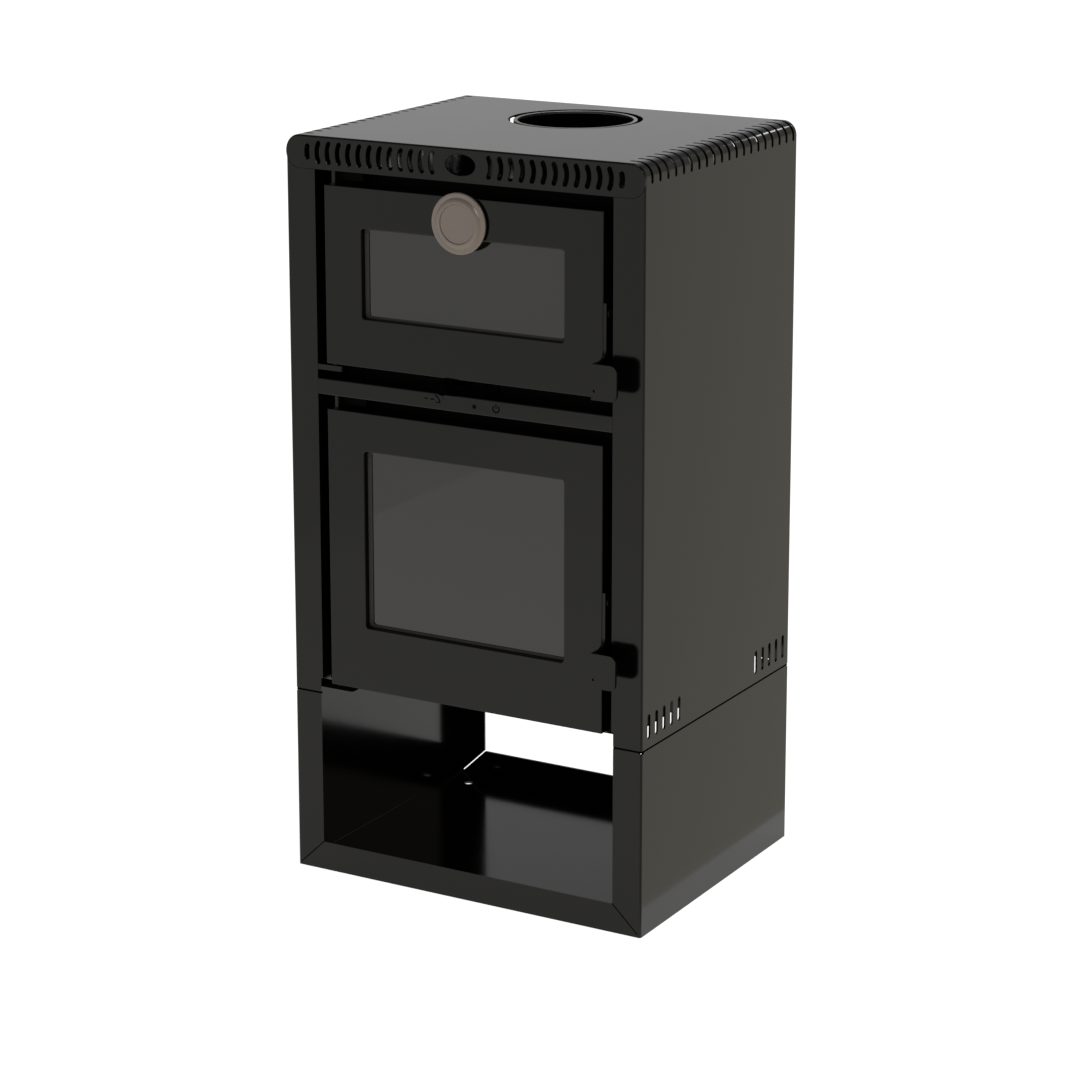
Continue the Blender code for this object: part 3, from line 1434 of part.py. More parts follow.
def build_door(build, door):
    """A door's tray, glazing, liner and rope seal, all hung on its hinge axis."""
    hinge = build.pivot(f"{door.name}_door_hinge", (HINGE_X, HINGE_Y, door.bottom))
    back = FRONT + DOOR_DEPTH
    bm = box_bmesh((-DOOR_HALF, FRONT, door.bottom), (DOOR_HALF, back, door.top))
    front_edges = [edge for edge in bm.edges if all(vert.co.y < FRONT + FIT for vert in edge.verts)]
    mesh = bevelled(bm, front_edges, DOOR_EDGE_BEVEL, 2)
    tray = build.add(f"{door.name}_door_tray", mesh, "black_paint", hinge)
    inner = DOOR_HALF - SHEET
    build.cut(
        tray,
        box(
            (-inner, FRONT + SHEET, door.bottom + SHEET),
            (inner, back + OVERRUN, door.top - SHEET),
        ),
        "hollow",
    )
    bosses = [
        ((HINGE_X, HINGE_Y, door.top - SHEET / 2), SHEET / 2 + HINGE_BOSS_HEIGHT),
        ((HINGE_X, HINGE_Y, door.bottom - HINGE_BOSS_HEIGHT), SHEET / 2 + HINGE_BOSS_HEIGHT),
    ]
    build.joined(tray, cylinders(bosses, HINGE_BOSS_RADIUS, "Z"), label="bosses")
    holes = [
        ((HINGE_X, HINGE_Y, door.top - SHEET - LAP), SHEET + LAP + OVERRUN),
        ((HINGE_X, HINGE_Y, door.bottom - OVERRUN), SHEET + LAP + OVERRUN),
    ]
    build.cut(tray, cylinders(holes, HINGE_PIN_RADIUS + RUNNING_FIT, "Z"), "pin holes")
    build.cut(
        tray,
        cylinder(
            (inner - LAP, PIVOT_Y, door.pivot_z),
            SHEET + LAP + OVERRUN,
            PIVOT_RADIUS + FIT,
            "X",
            SMALL_SIDES,
        ),
        "pivot hole",
    )
    if door.name == "oven":
        build.cut(
            tray,
            cylinder(
                (0, FRONT - OVERRUN, GAUGE_Z),
                OVERRUN + SHEET + LAP,
                GAUGE_STEM_RADIUS + FIT,
                "Y",
                SMALL_SIDES,
            ),
            "stem hole",
        )
    build.joined(
        tray,
        outline([door.window(SHEET)], "XZ", FRONT + EDGE_STEP, REVEAL_DEPTH - EDGE_STEP),
        label="reveal",
    )
    build.cut(
        tray,
        outline([door.window(0.0)], "XZ", FRONT - OVERRUN, OVERRUN + REVEAL_DEPTH + OVERRUN),
        "window",
    )
    build_glazing(build, door, hinge)
    liner_y = back + FIT
    low = (-DOOR_HALF + LINER_INSET, door.bottom + LINER_INSET)
    high = (DOOR_HALF - LINER_INSET, door.top - LINER_INSET)
    loops = [rectangle(low, high), door.window(RETAINER_STEP)]
    if door.name == "oven":
        loops.append(arc((0, GAUGE_Z), GAUGE_STEM_RADIUS + FIT, 0, 360, SMALL_SIDES)[:-1])
    build.add(
        f"{door.name}_door_liner",
        outline(loops, "XZ", liner_y, LINER_SHEET),
        "dark_steel",
        hinge,
    )
    rope_front = liner_y + LINER_SHEET + FIT
    rope_back = SEAL_Y - FIT
    radius = (rope_back - rope_front) / 2
    path = rounded_rectangle(
        (-DOOR_HALF + ROPE_SIDE_INSET, door.bottom + ROPE_END_INSET),
        (DOOR_HALF - ROPE_SIDE_INSET, door.top - ROPE_END_INSET),
        (ROPE_CORNER_RADIUS, ROPE_CORNER_RADIUS, ROPE_CORNER_RADIUS, ROPE_CORNER_RADIUS),
    )
    middle = (rope_front + rope_back) / 2
    build.add(
        f"{door.name}_door_rope",
        tube([(x, middle, z) for x, z in path], radius, True),
        "rope",
        hinge,
    )
    build_latch(build, door, hinge)
    return hinge


def build_glazing(build, door, hinge):
    """The gasket, glass and retainer behind a door's window."""
    start = FRONT + REVEAL_DEPTH + FIT
    loops = [door.window(GLASS_LAP), door.window(-GLASS_GASKET_SHOW)]
    build.add(
        f"{door.name}_glass_gasket",
        outline(loops, "XZ", start, GLASS_GASKET_THICKNESS),
        "rope",
        hinge,
    )
    start += GLASS_GASKET_THICKNESS + FIT
    build.add(
        f"{door.name}_glass",
        outline([door.window(GLASS_LAP)], "XZ", start, GLASS_THICKNESS),
        "ceramic_glass",
        hinge,
    )
    start += GLASS_THICKNESS + FIT
    loops = [door.window(RETAINER_LAP), door.window(RETAINER_STEP)]
    build.add(
        f"{door.name}_glass_retainer",
        outline(loops, "XZ", start, RETAINER_THICKNESS),
        "dark_steel",
        hinge,
    )


def lever_outline(pivot_z):
    """The lever's side outline: a bar at the pivot, the hook behind it and the web to the grip."""
    bar_front = FRONT
    bar_back = FRONT + LEVER_BAR_DEPTH
    keeper_y = FRONT + KEEPER_SETBACK
    keeper_z = pivot_z + KEEPER_LIFT
    nose_top = keeper_z - KEEPER_RADIUS - HOOK_CLEARANCE
    nose_front = keeper_y + KEEPER_RADIUS + HOOK_BACK_GAP
    nose_back = nose_front + HOOK_NOSE_WIDTH
    arm_top = nose_top - HOOK_NOSE_HEIGHT
    arm_bottom = arm_top - HOOK_ARM_HEIGHT
    top = pivot_z + LEVER_ABOVE_PIVOT
    bar_bottom = pivot_z - LEVER_BELOW_PIVOT
    grip_front = FRONT - GRIP_REACH + LEVER_THICKNESS / 2
    grip_top = pivot_z - GRIP_TOP_DROP
    web_bottom = grip_top - GRIP_HEIGHT + WEB_LIFT
    corner = LEVER_THICKNESS / 2
    loop = arc((bar_back - corner, top - corner), corner, 90, 0, SLOT_END_STEPS)
    loop += [(bar_back, arm_top), (nose_front, arm_top), (nose_front, nose_top)]
    loop += [(nose_back, nose_top), (nose_back, arm_bottom + corner)]
    loop += [(nose_back - corner, arm_bottom), (bar_back, arm_bottom)]
    loop += [(bar_back, bar_bottom)]
    heel = FRONT - LEVER_THICKNESS
    loop += arc(
        (heel - GRIP_FILLET_RADIUS / 2, web_bottom + GRIP_FILLET_RADIUS),
        GRIP_FILLET_RADIUS,
        0,
        -90,
    )
    loop += [(grip_front, web_bottom), (grip_front, grip_top)]
    rise = bar_bottom - grip_top
    loop += arc((bar_front - rise, grip_top + rise), rise, 270, 360)
    loop += [(bar_front, top)]
    return loop


def build_latch(build, door, hinge):
    """A door's handle lever on its pivot, and the keeper that its hook closes under."""
    name = door.name
    z = door.pivot_z
    left = DOOR_HALF + FIT
    right = left + LEVER_THICKNESS
    axis = build.pivot(f"{name}_latch_axis", (left, PIVOT_Y, z))
    axis.location = Vector(axis.location) - hinge.location
    axis.parent = hinge
    place = Vector((left, PIVOT_Y, z))
    mesh = outline([lever_outline(z)], "YZ", left, LEVER_THICKNESS)
    lever = build.add(f"{name}_latch_lever", mesh, "black_paint")
    grip_top = z - GRIP_TOP_DROP
    grip_loop = rounded_rectangle(
        (left, grip_top - GRIP_HEIGHT),
        (left + GRIP_WIDTH, grip_top),
        (FIT, GRIP_CORNER_RADIUS, GRIP_CORNER_RADIUS, FIT),
    )
    grip = outline([grip_loop], "XZ", FRONT - GRIP_REACH, LEVER_THICKNESS)
    build.joined(lever, grip, label="grip")
    notch_top = grip_top - GRIP_HEIGHT + WEB_LIFT
    build.cut(
        lever,
        box(
            (right - GRIP_NOTCH / 2, FRONT - GRIP_REACH - OVERRUN, notch_top - GRIP_NOTCH),
            (right + GRIP_NOTCH / 2, FRONT - GRIP_REACH + LEVER_THICKNESS + OVERRUN, notch_top),
        ),
        "bend relief",
    )
    build.cut(
        lever,
        cylinder(
            (left - OVERRUN, PIVOT_Y, z),
            LEVER_THICKNESS + OVERRUN + OVERRUN,
            PIVOT_RADIUS + RUNNING_FIT,
            "X",
        ),
        "pivot hole",
    )
    hang(lever, axis, place)
    start = DOOR_HALF - SHEET - PIVOT_SHANK_INSIDE
    head = right + FIT
    end = head + PIVOT_HEAD_THICKNESS
    profile = [
        (0, end),
        (PIVOT_HEAD_RADIUS, end),
        (PIVOT_HEAD_RADIUS, head),
        (PIVOT_RADIUS, head),
        (PIVOT_RADIUS, start),
        (0, start),
    ]
    build.add(
        f"{name}_latch_pivot",
        turned(profile, (0, PIVOT_Y, z), "X", ROUND_SIDES),
        "bare_steel",
        hinge,
    )
    build_keeper(build, f"{name}_keeper", z)


def hang(piece, axis, place):
    """Move a piece and its cutters onto an axis that stands at a place."""
    tools = [change.object for change in piece.modifiers]
    for obj in [piece] + tools:
        obj.data.transform(Matrix.Translation(-place))
        obj.parent = axis


def build_gauge(build, hinge):
    """The round thermometer on the oven door: case, blank dial and stem."""
    back = FRONT - GAUGE_STANDOFF
    shoulder = back - GAUGE_WALL
    face = shoulder - GAUGE_CHAMFER
    profile = [
        (0, FRONT - FIT),
        (GAUGE_HUB_RADIUS, FRONT - FIT),
        (GAUGE_HUB_RADIUS, back),
        (GAUGE_RADIUS, back),
        (GAUGE_RADIUS, shoulder),
        (GAUGE_FACE_RADIUS, face),
        (GAUGE_RECESS_RADIUS, face),
        (GAUGE_RECESS_RADIUS, face + GAUGE_RECESS),
        (0, face + GAUGE_RECESS),
    ]
    build.add(
        "thermometer_case",
        turned(profile, (0, 0, GAUGE_Z), "Y", COLLAR_SIDES),
        "taupe_metal",
        hinge,
    )
    dial_back = face + GAUGE_RECESS - FIT
    build.add(
        "thermometer_dial",
        cylinder(
            (0, dial_back - GAUGE_DIAL_THICKNESS, GAUGE_Z),
            GAUGE_DIAL_THICKNESS,
            GAUGE_RECESS_RADIUS - FIT,
            "Y",
            COLLAR_SIDES,
        ),
        "dial",
        hinge,
    )
    build.add(
        "thermometer_stem",
        cylinder((0, FRONT, GAUGE_Z), GAUGE_STEM_LENGTH, GAUGE_STEM_RADIUS, "Y", SMALL_SIDES),
        "bare_steel",
        hinge,
    )


def build_rack(build):
    """The oven's wire rack, a bent frame with cross wires, lying on the ledges."""
    ledge_z = OVEN_DOOR_BOTTOM + MOUTH_END_MARGIN + RACK_LEDGE_LIFT
    z = ledge_z + FIT + RACK_WIRE_RADIUS
    half = MOUTH_HALF - RACK_SIDE_GAP
    front = JACKET_FRONT + RACK_END_GAP / 2
    back = JACKET_FRONT + OVEN_DEPTH - OVEN_WALL - RACK_END_GAP
    radius = RACK_CORNER_RADIUS
    path = rounded_rectangle(
        (-half, front), (half, back), (radius, radius, radius, radius), SLOT_END_STEPS
    )
    rack = build.add("oven_rack", tube([(x, y, z) for x, y in path], RACK_WIRE_RADIUS, True), "bare_steel")
    wires = []
    step = (half + half) / (RACK_CROSS_COUNT + 1)
    for i in range(RACK_CROSS_COUNT):
        wires.append(((-half + step * (i + 1), front, z), back - front))
    build.joined(rack, cylinders(wires, RACK_CROSS_RADIUS, "Y", SMALL_SIDES // 2), label="wires")


def main():
    """Clear the scene and build every piece of the stove."""
    for obj in list(bpy.data.objects):
        bpy.data.objects.remove(obj)
    build = Builder()
    build_log_store(build)
    build_casing(build)
    build_grille(build)
    build_rails(build)
    build_rear(build)
    build_frame(build)
    build_inner_body(build)
    build_hearth(build)
    build_air_slide(build)
    build_hinges(build)
    oven = Door(
        "oven",
        OVEN_DOOR_BOTTOM,
        OVEN_DOOR_TOP,
        OVEN_WINDOW_BOTTOM_MARGIN,
        OVEN_WINDOW_TOP_MARGIN,
        OVEN_PIVOT_LIFT,
    )
    fire = Door(
        "fire",
        FIRE_DOOR_BOTTOM,
        FIRE_DOOR_TOP,
        FIRE_WINDOW_BOTTOM_MARGIN,
        FIRE_WINDOW_TOP_MARGIN,
        FIRE_PIVOT_LIFT,
    )
    oven_hinge = build_door(build, oven)
    build_door(build, fire)
    build_gauge(build, oven_hinge)
    build_rack(build)


if __name__ == "__main__":
    main()
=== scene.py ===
"""Looks of a black wood stove with an oven and an open log store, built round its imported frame.

Each sub-assembly of the stove is a class that holds its sizes in metres, builds its meshes and dresses
them. Sheet-metal parts are stacks of rings: every hole and edge of a plate is a chain of loops, so bends
and broken edges are real geometry. Finishes are frozen classes that make procedural materials.
"""

from __future__ import annotations

import json
import logging
import math
from dataclasses import dataclass, field
from enum import Enum
from typing import Callable, Iterable, Sequence

import bmesh
import bpy
from mathutils import Matrix, Vector

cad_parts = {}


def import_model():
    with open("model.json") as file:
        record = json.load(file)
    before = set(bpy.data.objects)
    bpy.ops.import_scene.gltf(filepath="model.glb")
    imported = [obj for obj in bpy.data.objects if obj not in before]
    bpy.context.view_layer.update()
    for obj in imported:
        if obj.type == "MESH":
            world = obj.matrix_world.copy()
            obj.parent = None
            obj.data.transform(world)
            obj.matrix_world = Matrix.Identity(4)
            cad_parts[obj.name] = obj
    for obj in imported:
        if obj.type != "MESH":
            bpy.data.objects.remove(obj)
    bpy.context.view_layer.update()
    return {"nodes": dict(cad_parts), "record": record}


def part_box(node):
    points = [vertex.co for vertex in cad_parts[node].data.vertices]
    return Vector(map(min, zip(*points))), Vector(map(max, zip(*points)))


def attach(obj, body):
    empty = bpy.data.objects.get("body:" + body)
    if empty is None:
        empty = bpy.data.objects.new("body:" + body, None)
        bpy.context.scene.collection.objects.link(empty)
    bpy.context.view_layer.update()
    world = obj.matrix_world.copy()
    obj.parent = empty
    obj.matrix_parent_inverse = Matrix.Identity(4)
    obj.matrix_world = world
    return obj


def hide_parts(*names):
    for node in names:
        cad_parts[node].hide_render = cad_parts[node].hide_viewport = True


LOG = logging.getLogger("stove")
Point = tuple[float, float]
Loop = list[Point]
Ring = tuple[float, Loop]
WELD = 0.00001
BROKEN_EDGE = 0.0004
LEAST_RADIUS = 0.0003
# How far a cutter runs past what it cuts, and how far parts lap where they are joined
OVER = 0.01
LAP = 0.001
# The planes of the body's front and of the doors' pins and studs, and the radius of a pin's hole
FRONT = -0.2065
PIVOT_Y = -0.1985
PIN_HOLE = 0.0031


class Plane(Enum):
    """The plane that a flat outline is drawn in, and the way its thickness runs."""

    FRONT = Matrix(((1, 0, 0, 0), (0, 0, 1, 0), (0, 1, 0, 0), (0, 0, 0, 1)))
    SIDE = Matrix(((0, 0, 1, 0), (1, 0, 0, 0), (0, 1, 0, 0), (0, 0, 0, 1)))
    LEVEL = Matrix.Identity(4)


class Axis(Enum):
    """The axis that a turned piece runs along."""

    X = Matrix.Rotation(math.radians(90), 4, "Y")
    Y = Matrix.Rotation(math.radians(-90), 4, "X")
    Z = Matrix.Identity(4)


class Body(Enum):
    """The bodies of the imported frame."""

    STOVE = "stove"
    OVEN_DOOR = "oven_door"
    OVEN_LATCH = "oven_latch"
    FIRE_DOOR = "fire_door"
    FIRE_LATCH = "fire_latch"
    AIR = "air_control"


# Colours and materials


def linear(code: str) -> tuple[float, float, float, float]:
    """Turn an sRGB hex colour into linear light.

    Args:
        code: six hex digits, with or without a leading hash.

    Returns:
        Red, green, blue and an alpha of one.
    """
    digits = code.lstrip("#")
    parts = [int(digits[i : i + 2], 16) / 255 for i in (0, 2, 4)]
    red, green, blue = (p / 12.92 if p <= 0.04045 else ((p + 0.055) / 1.055) ** 2.4 for p in parts)
    return red, green, blue, 1.0


def add_node(
    tree: bpy.types.NodeTree,
    kind: str,
    settings: dict | None = None,
    inputs: dict | None = None,
    links: dict | None = None,
) -> bpy.types.Node:
    """Add a node to a tree with its settings and links.

    Args:
        tree: the node tree.
        kind: the node's type name.
        settings: properties of the node itself.
        inputs: socket values by name or number.
        links: the output that feeds each socket.

    Returns:
        The new node.
    """
    node = tree.nodes.new(kind)
    for name, value in (settings or {}).items():
        setattr(node, name, value)
    for name, value in (inputs or {}).items():
        node.inputs[name].default_value = value
    for name, output in (links or {}).items():
        tree.links.new(output, node.inputs[name])
    return node


@dataclass(frozen=True)
class Finish:
    """A finish with a base colour, a worn or uneven second colour and a surface grain.

    The grain is a noise whose size is given in millimetres, and it moves the normal and the roughness.
    """

    name: str
    colour: str
    second: str
    roughness: float
    rough_spread: float = 0.06
    metallic: float = 0.0
    specular: float = 0.5
    tint: str = "#ffffff"
    coat: float = 0.0
    glow: float = 0.0
    grain_mm: float = 0.6
    grain_height_mm: float = 0.01
    cloud_mm: float = 90.0
    stretch: tuple[float, float, float] = (1.0, 1.0, 1.0)

    def material(self) -> bpy.types.Material:
        """Return the finish's material, made once."""
        made = bpy.data.materials.get(self.name)
        if made is None:
            made = bpy.data.materials.new(self.name)
            made.use_nodes = True
            self.draw(made.node_tree)
            made.diffuse_color = linear(self.colour)
        return made

    def draw(self, tree: bpy.types.NodeTree) -> None:
        """Draw the node tree."""
        shader = tree.nodes["Principled BSDF"]
        shader.inputs["Metallic"].default_value = self.metallic
        shader.inputs["Specular IOR Level"].default_value = self.specular
        shader.inputs["Specular Tint"].default_value = linear(self.tint)
        shader.inputs["Emission Color"].default_value = linear(self.colour)
        shader.inputs["Emission Strength"].default_value = self.glow
        shader.inputs["Coat Weight"].default_value = self.coat
        shader.inputs["Coat Roughness"].default_value = 0.12
        place = add_node(tree, "ShaderNodeTexCoord")
        turn = add_node(
            tree,
            "ShaderNodeMapping",
            inputs={"Scale": self.stretch},
            links={"Vector": place.outputs["Object"]},
        )
        cloud = add_node(
            tree,
            "ShaderNodeTexNoise",
            inputs={"Scale": 1000 / self.cloud_mm, "Detail": 4.0},
            links={"Vector": turn.outputs["Vector"]},
        )
        grain = self.grain(tree, turn.outputs["Vector"])
        colour = add_node(
            tree,
            "ShaderNodeMix",
            settings={"data_type": "RGBA"},
            inputs={6: linear(self.colour), 7: linear(self.second)},
            links={0: cloud.outputs["Fac"]},
        )
        rough = add_node(
            tree,
            "ShaderNodeMapRange",
            inputs={
                "From Min": 0.3,
                "From Max": 0.7,
                "To Min": self.roughness - self.rough_spread,
                "To Max": self.roughness + self.rough_spread,
            },
            links={"Value": cloud.outputs["Fac"]},
        )
        bump = add_node(
            tree,
            "ShaderNodeBump",
            inputs={"Strength": 1.0, "Distance": self.grain_height_mm / 1000},
            links={"Height": grain},
        )
        tree.links.new(colour.outputs[2], shader.inputs["Base Color"])
        tree.links.new(rough.outputs["Result"], shader.inputs["Roughness"])
        tree.links.new(bump.outputs["Normal"], shader.inputs["Normal"])

    def grain(self, tree: bpy.types.NodeTree, vector: bpy.types.NodeSocket) -> bpy.types.NodeSocket:
        """Draw the fine grain and return its height."""
        noise = add_node(
            tree,
            "ShaderNodeTexNoise",
            inputs={"Scale": 1000 / self.grain_mm, "Detail": 2.0, "Roughness": 0.5},
            links={"Vector": vector},
        )
        return noise.outputs["Fac"]


@dataclass(frozen=True)
class Flaked(Finish):
    """Pressed vermiculite: flakes of mica in a tan board, each flake a slightly different tone."""

    flake_mm: float = 3.0

    def draw(self, tree: bpy.types.NodeTree) -> None:
        """Draw the board, then tint each flake."""
        super().draw(tree)
        shader = tree.nodes["Principled BSDF"]
        place = add_node(tree, "ShaderNodeTexCoord")
        flakes = add_node(
            tree,
            "ShaderNodeTexVoronoi",
            inputs={"Scale": 1000 / self.flake_mm},
            links={"Vector": place.outputs["Object"]},
        )
        tone = add_node(
            tree,
            "ShaderNodeMix",
            settings={"data_type": "RGBA"},
            inputs={6: linear(self.colour), 7: linear(self.second)},
            links={0: flakes.outputs["Color"]},
        )
        tree.links.new(tone.outputs[2], shader.inputs["Base Color"])


@dataclass(frozen=True)
class Braided(Finish):
    """Woven glass fibre: two crossing waves as wide as the yarn."""

    yarn_mm: float = 1.6

    def grain(self, tree: bpy.types.NodeTree, vector: bpy.types.NodeSocket) -> bpy.types.NodeSocket:
        """Draw the crossing yarns and return their height."""
        heights = []
        for turn in (math.radians(45), math.radians(-45)):
            turned = add_node(
                tree, "ShaderNodeMapping", inputs={"Rotation": (turn, turn, turn)}, links={"Vector": vector}
            )
            wave = add_node(
                tree,
                "ShaderNodeTexWave",
                inputs={"Scale": 1000 / self.yarn_mm / math.tau, "Distortion": 0.6},
                links={"Vector": turned.outputs["Vector"]},
            )
            heights.append(wave.outputs["Fac"])
        both = add_node(
            tree,
            "ShaderNodeMath",
            settings={"operation": "MAXIMUM"},
            links={0: heights[0], 1: heights[1]},
        )
        return both.outputs[0]


# Heat-resistant silicone paint, sprayed and baked: near black, evenly glossy, with a faint orange peel.
PAINT = Finish(
    "stove_paint_baked", "#030303", "#040404", 0.13, 0.01,
    specular=0.25, tint="#fffdf8", grain_mm=1.6, grain_height_mm=0.004,
)
# The same paint where it is thin on hidden plate: flatter and greyer.
PLATE = Finish(
    "stove_paint_thin", "#050505", "#080807", 0.6, 0.08,
    specular=0.03, grain_mm=0.8, grain_height_mm=0.02,
)
# Drawn steel bar: bright, with fine lines along its length.
STEEL = Finish(
    "steel_drawn", "#8f8f8c", "#7c7b78", 0.32, 0.08, 1.0,
    grain_mm=0.4, grain_height_mm=0.004,
)
# Blackened steel pins: dark, with the shine of the bar under the film.
PIN = Finish(
    "steel_blackened", "#2a2a2a", "#1c1c1c", 0.3, 0.06, 0.8,
    grain_mm=0.5, grain_height_mm=0.004,
)
# Sand-cast iron: rough and dark, with grains of about a millimetre.
CASTING = Finish("iron_cast", "#1c1b1a", "#2a2624", 0.72, 0.1, 0.5, grain_mm=1.1, grain_height_mm=0.12)
# Ceramic glass drawn as an opaque sheet: its near-black colour is painted shade for the dim inside of the
# stove behind it; smooth, with a strong clear reflection.
PANE = Finish(
    "glass_ceramic", "#0d0d0c", "#121211", 0.035, 0.005,
    specular=0.6, tint="#fffdf8", grain_mm=40.0, grain_height_mm=0.0,
)
# Pressed vermiculite board: tan, matt, full of mica flakes.
BRICK = Flaked(
    "board_vermiculite", "#b39a72", "#8d7652", 0.93, 0.04,
    specular=0.2, grain_mm=1.4, grain_height_mm=0.18,
)
# Braided glass-fibre rope: grey, matt, with a yarn of under two millimetres.
ROPE = Braided(
    "rope_glass_fibre", "#55534f", "#3c3b38", 0.95, 0.03,
    specular=0.15, grain_height_mm=0.35,
)
# Flat glass-fibre tape, seen as a thin grey line round the glass.
TAPE = Braided("tape_glass_fibre", "#42413e", "#383734", 0.9, 0.03, specular=0.1, grain_height_mm=0.1)
# Satin lacquer over aluminium: a warm grey, soft in its shine.
TAUPE = Finish(
    "lacquer_taupe", "#766b62", "#70665d", 0.3, 0.03, 0.25,
    specular=0.5, grain_mm=0.5, grain_height_mm=0.004,
)
# The dial's plate, the same colour a little darker.
DIAL = Finish(
    "lacquer_taupe_dial", "#786e65", "#71675f", 0.36, 0.03, 0.2,
    specular=0.4, grain_mm=0.5, grain_height_mm=0.004,
)
# Moulded phenolic knob: black and matt, so it hardly shows against the dark gap.
KNOB = Finish(
    "phenolic_moulded", "#020202", "#030303", 0.85, 0.05,
    specular=0.0, grain_mm=0.9, grain_height_mm=0.01,
)
# Painted shade: the thin paint made fully black and without shine where it lies in the shade under the fire
# door.
SHADE_BLACK_PLATE = Finish(
    "paint_thin_painted_shade", "#040404", "#060606", 0.9, 0.05,
    specular=0.0, grain_mm=0.8, grain_height_mm=0.02,
)
# The inner body's plate, rolled smooth before its paint: its top mirrors the light from the slots.
ROLLED = Finish(
    "stove_paint_rolled", "#060606", "#050505", 0.15, 0.02,
    specular=0.9, grain_mm=30.0, grain_height_mm=0.05,
)
# Painted shade: a matt, fully black strip in the seam between the casing and the log store, standing in for
# the shadow under the casing's edge.
SEAM_SHADE_FILL = Finish(
    "seam_painted_shade", "#030303", "#050505", 0.95, 0.03,
    specular=0.0, grain_mm=0.5, grain_height_mm=0.02,
)
# Matt black ink of the printed air symbols, which reads darker than the glossy paint round it.
INK = Finish(
    "ink_black", "#050505", "#070707", 0.8, 0.05,
    specular=0.02, grain_mm=0.4, grain_height_mm=0.004,
)
# The studio's floor: white and matt, with a glow of its own, so hardly a shadow gathers on it.
FLOOR = Finish(
    "floor_white", "#ffffff", "#fdfdfd", 0.85, 0.02,
    specular=0.1, glow=0.84, grain_mm=4.0, grain_height_mm=0.01,
)

SLOT_FINISHES = {
    "black_paint": PAINT,
    "dark_steel": PLATE,
    "bare_steel": STEEL,
    "cast_iron": CASTING,
    "ceramic_glass": PANE,
    "rope": ROPE,
    "vermiculite": BRICK,
    "taupe_metal": TAUPE,
    "dial": DIAL,
    "knob": KNOB,
}


# Outlines


def arc(centre: Point, radius: float, start: float, end: float, steps: int) -> Loop:
    """Return points on an arc, with its angles in degrees."""
    angles = [math.radians(start + (end - start) * i / steps) for i in range(steps + 1)]
    return [(centre[0] + radius * math.cos(a), centre[1] + radius * math.sin(a)) for a in angles]


def box_loop(low: Point, high: Point, radii: Sequence[float], grow: float = 0.0, steps: int = 8) -> Loop:
    """Return a rectangle with rounded corners, let out by grow.

    Args:
        low: lower left corner before it grows.
        high: upper right corner before it grows.
        radii: corner radii from the lower left round to the upper left.
        grow: how far the loop is let out.
        steps: segments in each corner.

    Returns:
        The loop, always with the same number of points.
    """
    first, second, third, fourth = (max(r + grow, LEAST_RADIUS) for r in radii)
    left, bottom = low[0] - grow, low[1] - grow
    right, top = high[0] + grow, high[1] + grow
    loop = arc((left + first, bottom + first), first, 180, 270, steps)
    loop += arc((right - second, bottom + second), second, 270, 360, steps)
    loop += arc((right - third, top - third), third, 0, 90, steps)
    loop += arc((left + fourth, top - fourth), fourth, 90, 180, steps)
    return loop


def stadium(centre: Point, width: float, height: float, grow: float = 0.0, steps: int = 6) -> Loop:
    """Return an upright slot with round ends."""
    radius = width / 2 + grow
    rise = height / 2 - width / 2
    loop = arc((centre[0], centre[1] + rise), radius, 0, 180, steps)
    return loop + arc((centre[0], centre[1] - rise), radius, 180, 360, steps)


def bowed_slot(
    centre: Point, height: float, width: float, sag: float, side: int, grow: float = 0.0, steps: int = 8
) -> Loop:
    """Return an upright slot that bows away from the middle of the grille."""
    radius = width / 2 + grow
    half = height / 2 - width / 2
    bend = (half * half + sag * sag) / (2 * sag)
    spread = math.degrees(math.asin(half / bend))
    hub = (centre[0] - side * (bend - sag), centre[1])
    turn = 0 if side > 0 else 180
    loop = arc(hub, bend + radius, turn - spread, turn + spread, steps)[:-1]
    top = arc(hub, bend, turn + spread, turn + spread, 1)[0]
    loop += arc(top, radius, turn + spread, turn + spread + 180, steps)[:-1]
    loop += arc(hub, bend - radius, turn + spread, turn - spread, steps)[:-1]
    bottom = arc(hub, bend, turn - spread, turn - spread, 1)[0]
    return loop + arc(bottom, radius, turn - spread - 180, turn - spread, steps)[:-1]


def circle(centre: Point, radius: float, steps: int = 32) -> Loop:
    """Return a circle's loop."""
    return arc(centre, radius, 0, 360, steps)[:-1]


def plate_chain(
    outline: Callable[[float], Loop], start: float, thickness: float, inward: float
) -> list[Ring]:
    """Return the rings of one edge of a plate, with a broken edge on both faces.

    Args:
        outline: gives the loop, let out by an amount.
        start: where the plate's front face lies.
        thickness: the plate's thickness.
        inward: minus one on an outer edge, one round a hole.

    Returns:
        Four rings from the front face to the back.
    """
    edge = min(BROKEN_EDGE, thickness / 4)
    end = start + thickness
    return [
        (start, outline(inward * edge)),
        (start + edge, outline(0.0)),
        (end - edge, outline(0.0)),
        (end, outline(inward * edge)),
    ]


# Meshes


def ring_edges(bm: bmesh.types.BMesh, verts: list[bmesh.types.BMVert]) -> list[bmesh.types.BMEdge]:
    """Return the edges of a closed ring of vertices, made where they are missing."""
    pairs = zip(verts, verts[1:] + verts[:1])
    return [bm.edges.get(pair) or bm.edges.new(pair) for pair in pairs]


